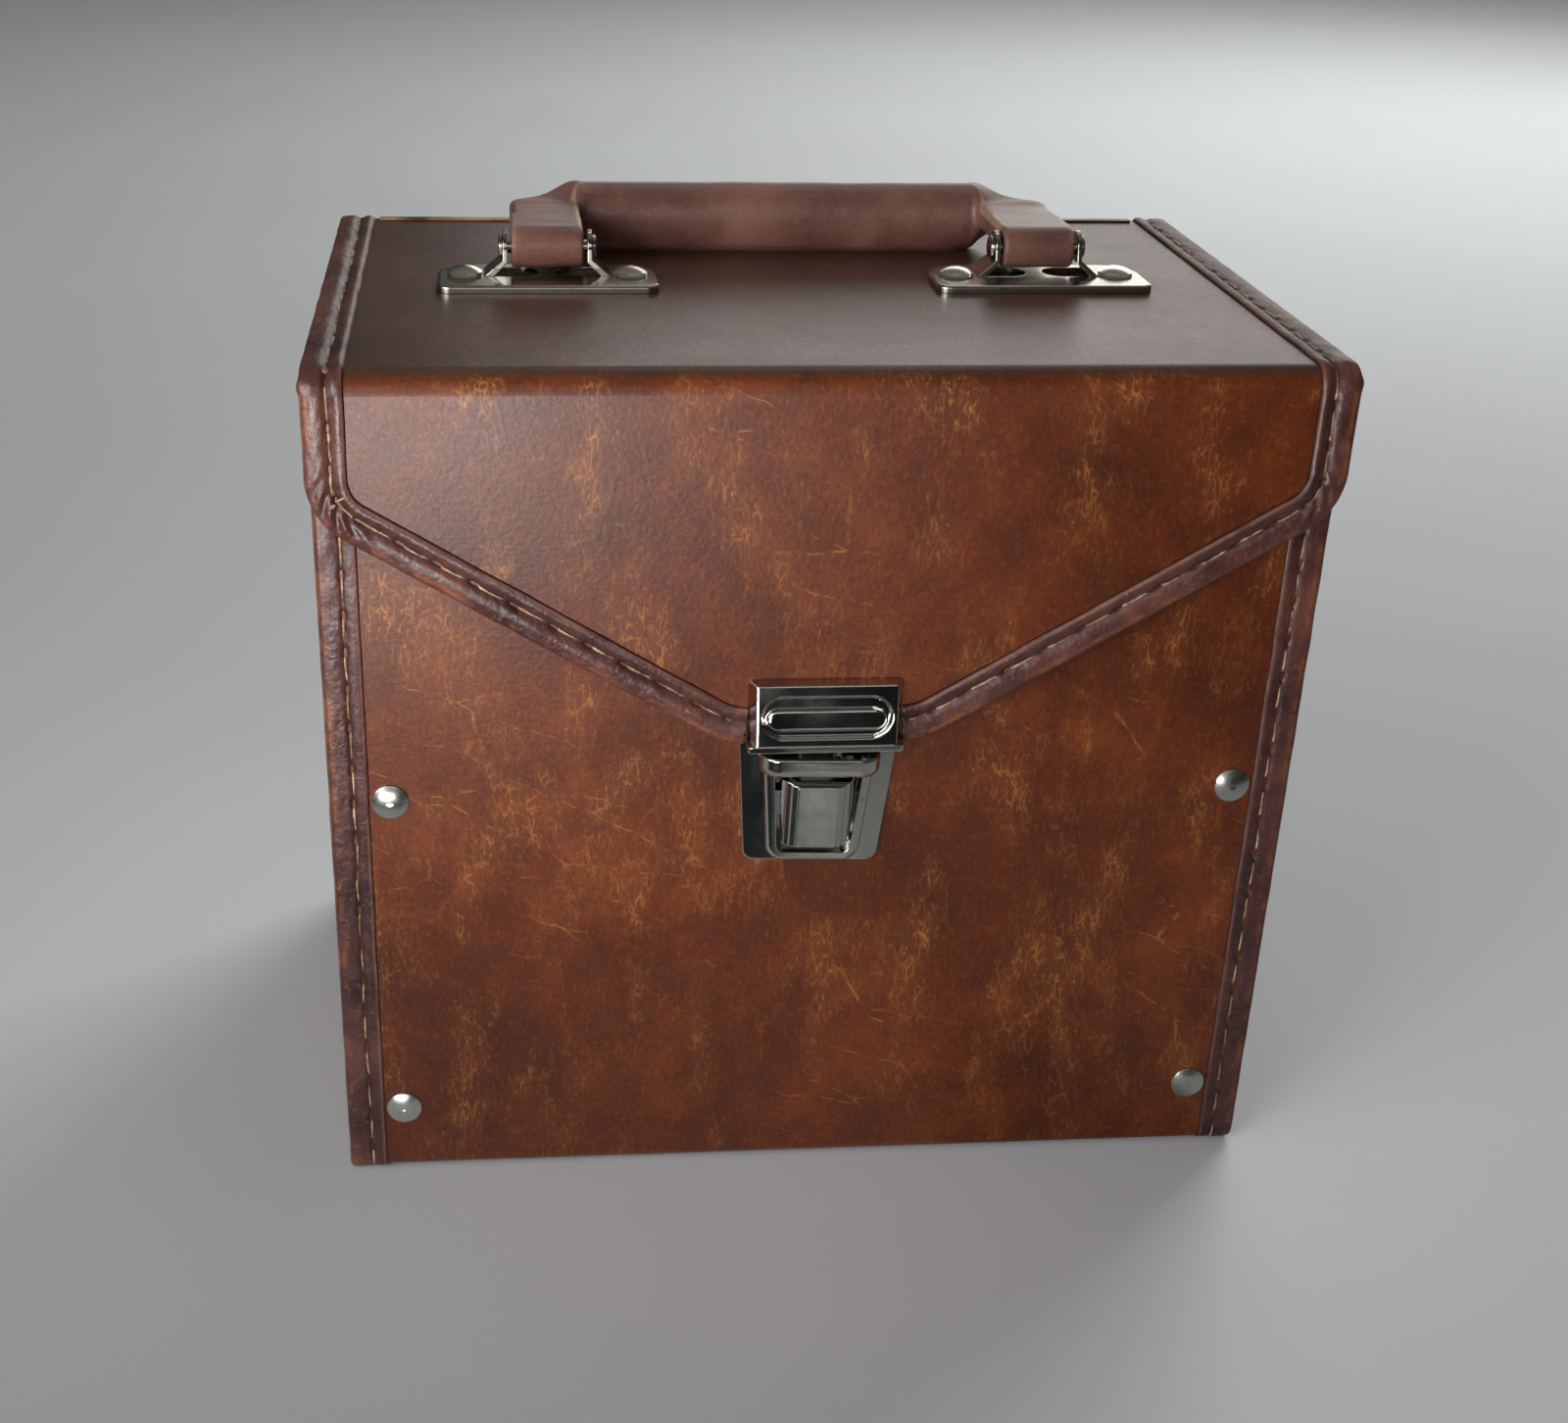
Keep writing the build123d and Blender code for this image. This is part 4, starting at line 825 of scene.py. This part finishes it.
def make_hinge_strip():
    """Leather strip over the back edge, finely divided along the hinge and over its bend."""
    over = HINGE_ON_LID + STRIP_THICK - STRIP_CORNER_R
    down = STRIP_THICK - STRIP_CORNER_R + HINGE_ON_BACK
    outline = Path((BACK_FACE - HINGE_ON_LID, LID_TOP + STRIP_THICK), 0,
                   [(over, 0), (STRIP_CORNER_R * QUARTER, -90), (down, 0)])
    points, wear = [], []
    for i in range(STRIP_STATIONS):
        s = outline.length * i / (STRIP_STATIONS - 1)
        y, z, heading = outline.at(s)
        ny, nz = math.cos(heading + QUARTER), math.sin(heading + QUARTER)
        rubbed = s < HINGE_ON_LID + 1.5
        row = [HINGE_HALF * (2 * k / (STRIP_ACROSS - 1) - 1) for k in range(STRIP_ACROSS)]
        for x in row:
            rise = 0.10 * noise.noise(Vector((x * 0.05, s * 0.3, 2.0)))
            points.append((x, y + rise * ny, z + rise * nz))
            wear.append(1.0 if rubbed and x < STRIP_WORN_TO else 0.0)
        for x in reversed(row):
            points.append((x, y - STRIP_THICK * ny, z - STRIP_THICK * nz))
            wear.append(0.0)
    strip = build_mesh("hinge_strip_leather", points,
                       ring_faces(STRIP_STATIONS, 2 * STRIP_ACROSS), STRIP, wear=wear)
    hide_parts("hinge_strip")
    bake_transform(strip)


# ---- handle ----
VOXEL = 0.00045          # metres
SOFTEN_TIMES = 15
GRIP_REACH = 34.0        # the grip's axis is this far behind the pins
GRIP_RISE = 0.4          # and this far above them
GRIP_HALF = 47.0
TURN_Y = 25.0            # middle of the elbow's turn, behind the pins
TURN_INNER_R = 1.4
STRAP_WIDE = 16.4
STRAP_NECK = 2.8         # how much narrower the elbow is half way round
STRAP_SIDE = 64.0        # outer side of the straps
RIDGE_LOW = 24.0         # where the cut ridge lies on the strap's section, in degrees
RIDGE_HIGH = 99.0        # and on the grip's
SEAM_HIGH = 109.0        # the painted shade of the seam beside it
SEAM_LOW = -66.0         # the cut edge under the grip
HANG = 1.4               # how far the grip's underside hangs below its solid


def make_handle():
    """Handle leather: the CAD form softened, with its cut edges marked."""
    piece = bpy.data.objects.new("handle_cover_leather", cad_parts["handle_cover"].data.copy())
    bpy.context.scene.collection.objects.link(piece)
    remesh = piece.modifiers.new("remesh", "REMESH")
    remesh.mode = "VOXEL"
    remesh.voxel_size = VOXEL
    soften = piece.modifiers.new("soften", "SMOOTH")
    soften.factor = 0.5
    soften.iterations = SOFTEN_TIMES
    graph = bpy.context.evaluated_depsgraph_get()
    mesh = bpy.data.meshes.new_from_object(piece.evaluated_get(graph))
    piece.modifiers.clear()
    piece.data = mesh
    mesh.materials.clear()
    mesh.materials.append(HANDLE_LEATHER)
    mark_handle(mesh)
    mesh.shade_smooth()
    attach(piece, "handle")
    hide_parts("handle_cover")


def elbow_ridge(x, y, z):
    """How near a point of the elbow is to the cut ridge that climbs from strap to grip."""
    out, back = abs(x) - GRIP_HALF, y - TURN_Y
    turn = min(max(math.degrees(math.atan2(back, out)), 0.0), 90.0) if out > 0 else 90.0
    wide = STRAP_WIDE - STRAP_NECK * math.sin(math.radians(2 * min(turn, 45.0)))
    radial = math.hypot(out, back) if turn < 90.0 else back
    across = radial - TURN_INNER_R - wide / 2
    section = math.degrees(math.atan2(z - 1.2, -across))
    ridge = RIDGE_LOW + (RIDGE_HIGH - RIDGE_LOW) * (turn / 90.0) ** 2.2
    return bell(section, ridge, 6.0)


def handle_marks(x, y, z):
    """How much of a cut edge, and of painted shade along the seam and at the grip's ends, a point
    shows, measured from the pins.
    """
    edge, dark = 0.0, 0.0
    if abs(x) <= GRIP_HALF and y > TURN_Y:
        around = math.degrees(math.atan2(z - GRIP_RISE, -(y - GRIP_REACH)))
        edge = bell(around, RIDGE_HIGH, 4.5) + 0.45 * bell(around, SEAM_LOW, 3.0)
        # Painted shade: a dark line along the seam beside the cut edge, and darkening at the
        # grip's ends beside the straps.
        dark = bell(around, SEAM_HIGH, 4.0)
        dark += 0.5 * math.exp((abs(x) - GRIP_HALF) / 3.0) * (around < 50.0)
    elif y > TURN_Y:
        edge = elbow_ridge(x, y, z)
    elif y > 1.5 and abs(abs(x) - GRIP_HALF - TURN_INNER_R) < 1.0 and z > 3.0:
        edge = 1.0
    outer = 0.5 * bell(abs(x), STRAP_SIDE, 0.5) * (y < 14.0) * (z > 2.0)
    return max(edge, outer), dark


def mark_handle(mesh):
    """Uneven surface, a slack underside, a tan cut edge, and painted shade along the seam beside
    it and at the grip's ends.
    """
    cut, crease, moved = [], [], []
    normals = [Vector(v.vector) for v in mesh.vertex_normals]
    for vertex, normal in zip(mesh.vertices, normals):
        x, y, z = vertex.co / MM
        y -= PIN_Y
        z -= PIN_Z
        edge, dark = handle_marks(x, y, z)
        cut.append(edge)
        crease.append(dark)
        lump = 0.10 * noise.noise(Vector((x * 0.09, y * 0.2, z * 0.2)))
        low = min(max((GRIP_RISE - z) / 5.0, 0.0), 1.0)
        inside = min(max((GRIP_HALF + 3.0 - abs(x)) / 8.0, 0.0), 1.0)
        hang = HANG * low * inside * (y > 20.0)
        moved.extend(vertex.co + normal * (lump * MM) - Vector((0.0, 0.0, hang * MM)))
    mesh.vertices.foreach_set("co", moved)
    add_floats(mesh, cut=cut, crease=crease)


# ---- lock spring ----
def make_spring():
    """The lock's leaf spring, copied as drawn in plain steel; its bow, which flattens as the
    button goes in, isn't moved here.
    """
    piece = bpy.data.objects.new("lock_spring_leaf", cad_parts["lock_spring"].data.copy())
    piece.data.materials.clear()
    piece.data.materials.append(STEEL)
    bpy.context.scene.collection.objects.link(piece)
    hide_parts("lock_spring")
    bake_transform(piece)


# ---- finishes of the CAD pieces ----
FINISHES = (
    (BOARD, "body_wrap", "lid_board"),
    (SIDE_BOARD, "side_panel_left", "side_panel_right"),
    (BRIGHT, "hasp_cap", "hasp_tongue", "lock_base_plate", "lock_housing", "lock_button"),
    (SATIN, "handle_bracket_left", "handle_bracket_right", "handle_pin_left",
     "handle_pin_right"),
    (CAP, "front_cap_rivets", "back_cap_rivets"),
    (RIVET, "bracket_rivets"),
    (STEEL, "rivet_washers", "lock_back_plate", "lock_catch", "hasp_back_plate",
     "backing_strip_left", "backing_strip_right"),
    (LINING, "wrap_lining", "side_lining_left", "side_lining_right", "lid_lining"),
    (CORD, "handle_core"),
)


def dress_nodes():
    """Give the CAD nodes that stay their finishes."""
    for material, *names in FINISHES:
        for name in names:
            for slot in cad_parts[name].material_slots:
                slot.material = material


# ---- camera, light and floor ----
# The camera was solved from the photograph: millimetres, degrees and the photograph's pixels.
CAMERA_AT = (-69.0, -487.8, 308.1)
CAMERA_YAW = -5.45
CAMERA_PITCH = 26.62
CAMERA_ROLL = 1.29
FOCAL_PIXELS = 2189.0
PICTURE_WIDE, PICTURE_HIGH = 1600.0, 1452.0
AXIS_PIXEL = (700.4, 812.5)


def make_camera():
    """Camera at the photograph's place."""
    data = bpy.data.cameras.new("camera")
    data.sensor_width = 36.0
    data.lens = FOCAL_PIXELS / PICTURE_WIDE * data.sensor_width
    data.shift_x = (PICTURE_WIDE / 2 - AXIS_PIXEL[0]) / PICTURE_WIDE
    data.shift_y = (AXIS_PIXEL[1] - PICTURE_HIGH / 2) / PICTURE_WIDE
    data.clip_start = 0.01
    camera = bpy.data.objects.new("camera", data)
    moved_back = Vector((0.0, FLAP_FACE - DRAWN_FLAP_FACE, 0.0))
    place = Matrix.Translation((Vector(CAMERA_AT) + moved_back) * MM)
    turn = Matrix.Rotation(math.radians(CAMERA_YAW), 4, "Z")
    tilt = Matrix.Rotation(math.radians(90 - CAMERA_PITCH), 4, "X")
    roll = Matrix.Rotation(math.radians(CAMERA_ROLL), 4, "Z")
    camera.matrix_world = place @ turn @ tilt @ roll
    bpy.context.scene.collection.objects.link(camera)
    bpy.context.scene.camera = camera


def make_area(name, place, aim, wide, high, power, spread=180, shine=True):
    """Rectangular lamp aimed at a point; without shine it isn't mirrored in glossy surfaces."""
    data = bpy.data.lights.new(name, "AREA")
    data.shape = "RECTANGLE"
    data.size, data.size_y = wide, high
    data.energy = power
    data.spread = math.radians(spread)
    lamp = bpy.data.objects.new(name, data)
    lamp.visible_camera = False
    lamp.visible_glossy = shine
    lamp.location = place
    lamp.rotation_euler = (Vector(aim) - Vector(place)).to_track_quat("-Z", "Y").to_euler()
    bpy.context.scene.collection.objects.link(lamp)


WORLD_TINT = (1.0, 0.975, 0.93, 1.0)
HORIZON = 0.45           # how bright the surround is where the camera sees it directly
# The surround adds up patches: direction, cosine where a patch begins and where it is full, and
# strength. The first is all round, the second behind on the right and the third overhead.
SURROUND = (
    ((0.0, 0.0, 1.0), -1.5, -1.2, 0.04),
    ((0.335, 0.925, 0.178), 0.933, 0.962, 1.52),
    ((0.15, 0.35, 0.92), 0.55, 0.85, 0.10),
)


def make_world():
    """Studio surround, bright behind the case and dark in front of it."""
    world = bpy.data.worlds.new("studio")
    world.use_nodes = True
    bpy.context.scene.world = world
    tree = world.node_tree
    background = tree.nodes["Background"]
    direction = tree.nodes.new("ShaderNodeTexCoord").outputs["Generated"]
    total = None
    for aim, low, high, strength in SURROUND:
        dot = tree.nodes.new("ShaderNodeVectorMath")
        dot.operation = "DOT_PRODUCT"
        tree.links.new(direction, dot.inputs[0])
        dot.inputs[1].default_value = Vector(aim).normalized()
        patch = tree.nodes.new("ShaderNodeMapRange")
        patch.interpolation_type = "SMOOTHSTEP"
        tree.links.new(dot.outputs["Value"], patch.inputs[0])
        for index, value in zip((1, 2, 3, 4), (low, high, 0.0, strength)):
            patch.inputs[index].default_value = value
        if total is None:
            total = patch.outputs[0]
        else:
            add = tree.nodes.new("ShaderNodeMath")
            tree.links.new(total, add.inputs[0])
            tree.links.new(patch.outputs[0], add.inputs[1])
            total = add.outputs[0]
    seen = tree.nodes.new("ShaderNodeMapRange")
    tree.links.new(tree.nodes.new("ShaderNodeLightPath").outputs["Is Camera Ray"], seen.inputs[0])
    tree.links.new(total, seen.inputs[3])
    seen.inputs[4].default_value = HORIZON
    tree.links.new(seen.outputs[0], background.inputs["Strength"])
    background.inputs["Color"].default_value = WORLD_TINT


# Each lamp: name, place, aim, width, height and watts, and where they matter its spread in
# degrees and whether it shines in glossy surfaces.
LAMPS = (
    ("key_light", (0.11, 0.40, 0.85), (0.0, 0.0, 0.1), 0.30, 0.22, 0.22),
    ("back_light", (1.05, 1.42, 1.2), (0.45, 0.62, 0.0), 1.0, 1.0, 15.8, 180, False),
    ("low_light", (-0.18, -0.60, 0.03), (-0.07, -0.07, 0.17), 0.30, 0.10, 0.21, 50),
    ("fill_light", (-0.36, -0.45, 0.34), (-0.05, 0.0, 0.17), 0.30, 0.30, 0.20, 80),
    ("near_light", (-0.30, -0.33, 0.26), (-0.07, -0.07, 0.19), 0.20, 0.20, 0.085, 60),
    ("side_light", (-0.45, -0.22, 0.34), (-0.05, 0.0, 0.17), 0.25, 0.25, 0.09, 90),
    ("strip_light", (-0.12, -0.70, 0.42), (0.0, 0.0, 0.15), 0.60, 0.26, 0.44),
)


FLOOR_SIZE = 12.0


def make_stage():
    """Floor, surround and lamps."""
    bpy.ops.mesh.primitive_plane_add(size=FLOOR_SIZE)
    floor = bpy.context.object
    floor.name = "floor"
    floor.data.materials.append(paper_floor())
    make_world()
    for lamp in LAMPS:
        make_area(*lamp)
    bpy.context.scene.view_settings.view_transform = "Standard"


make_camera()
make_stage()
dress_nodes()
make_bindings()
make_hinge_strip()
make_handle()
make_spring()
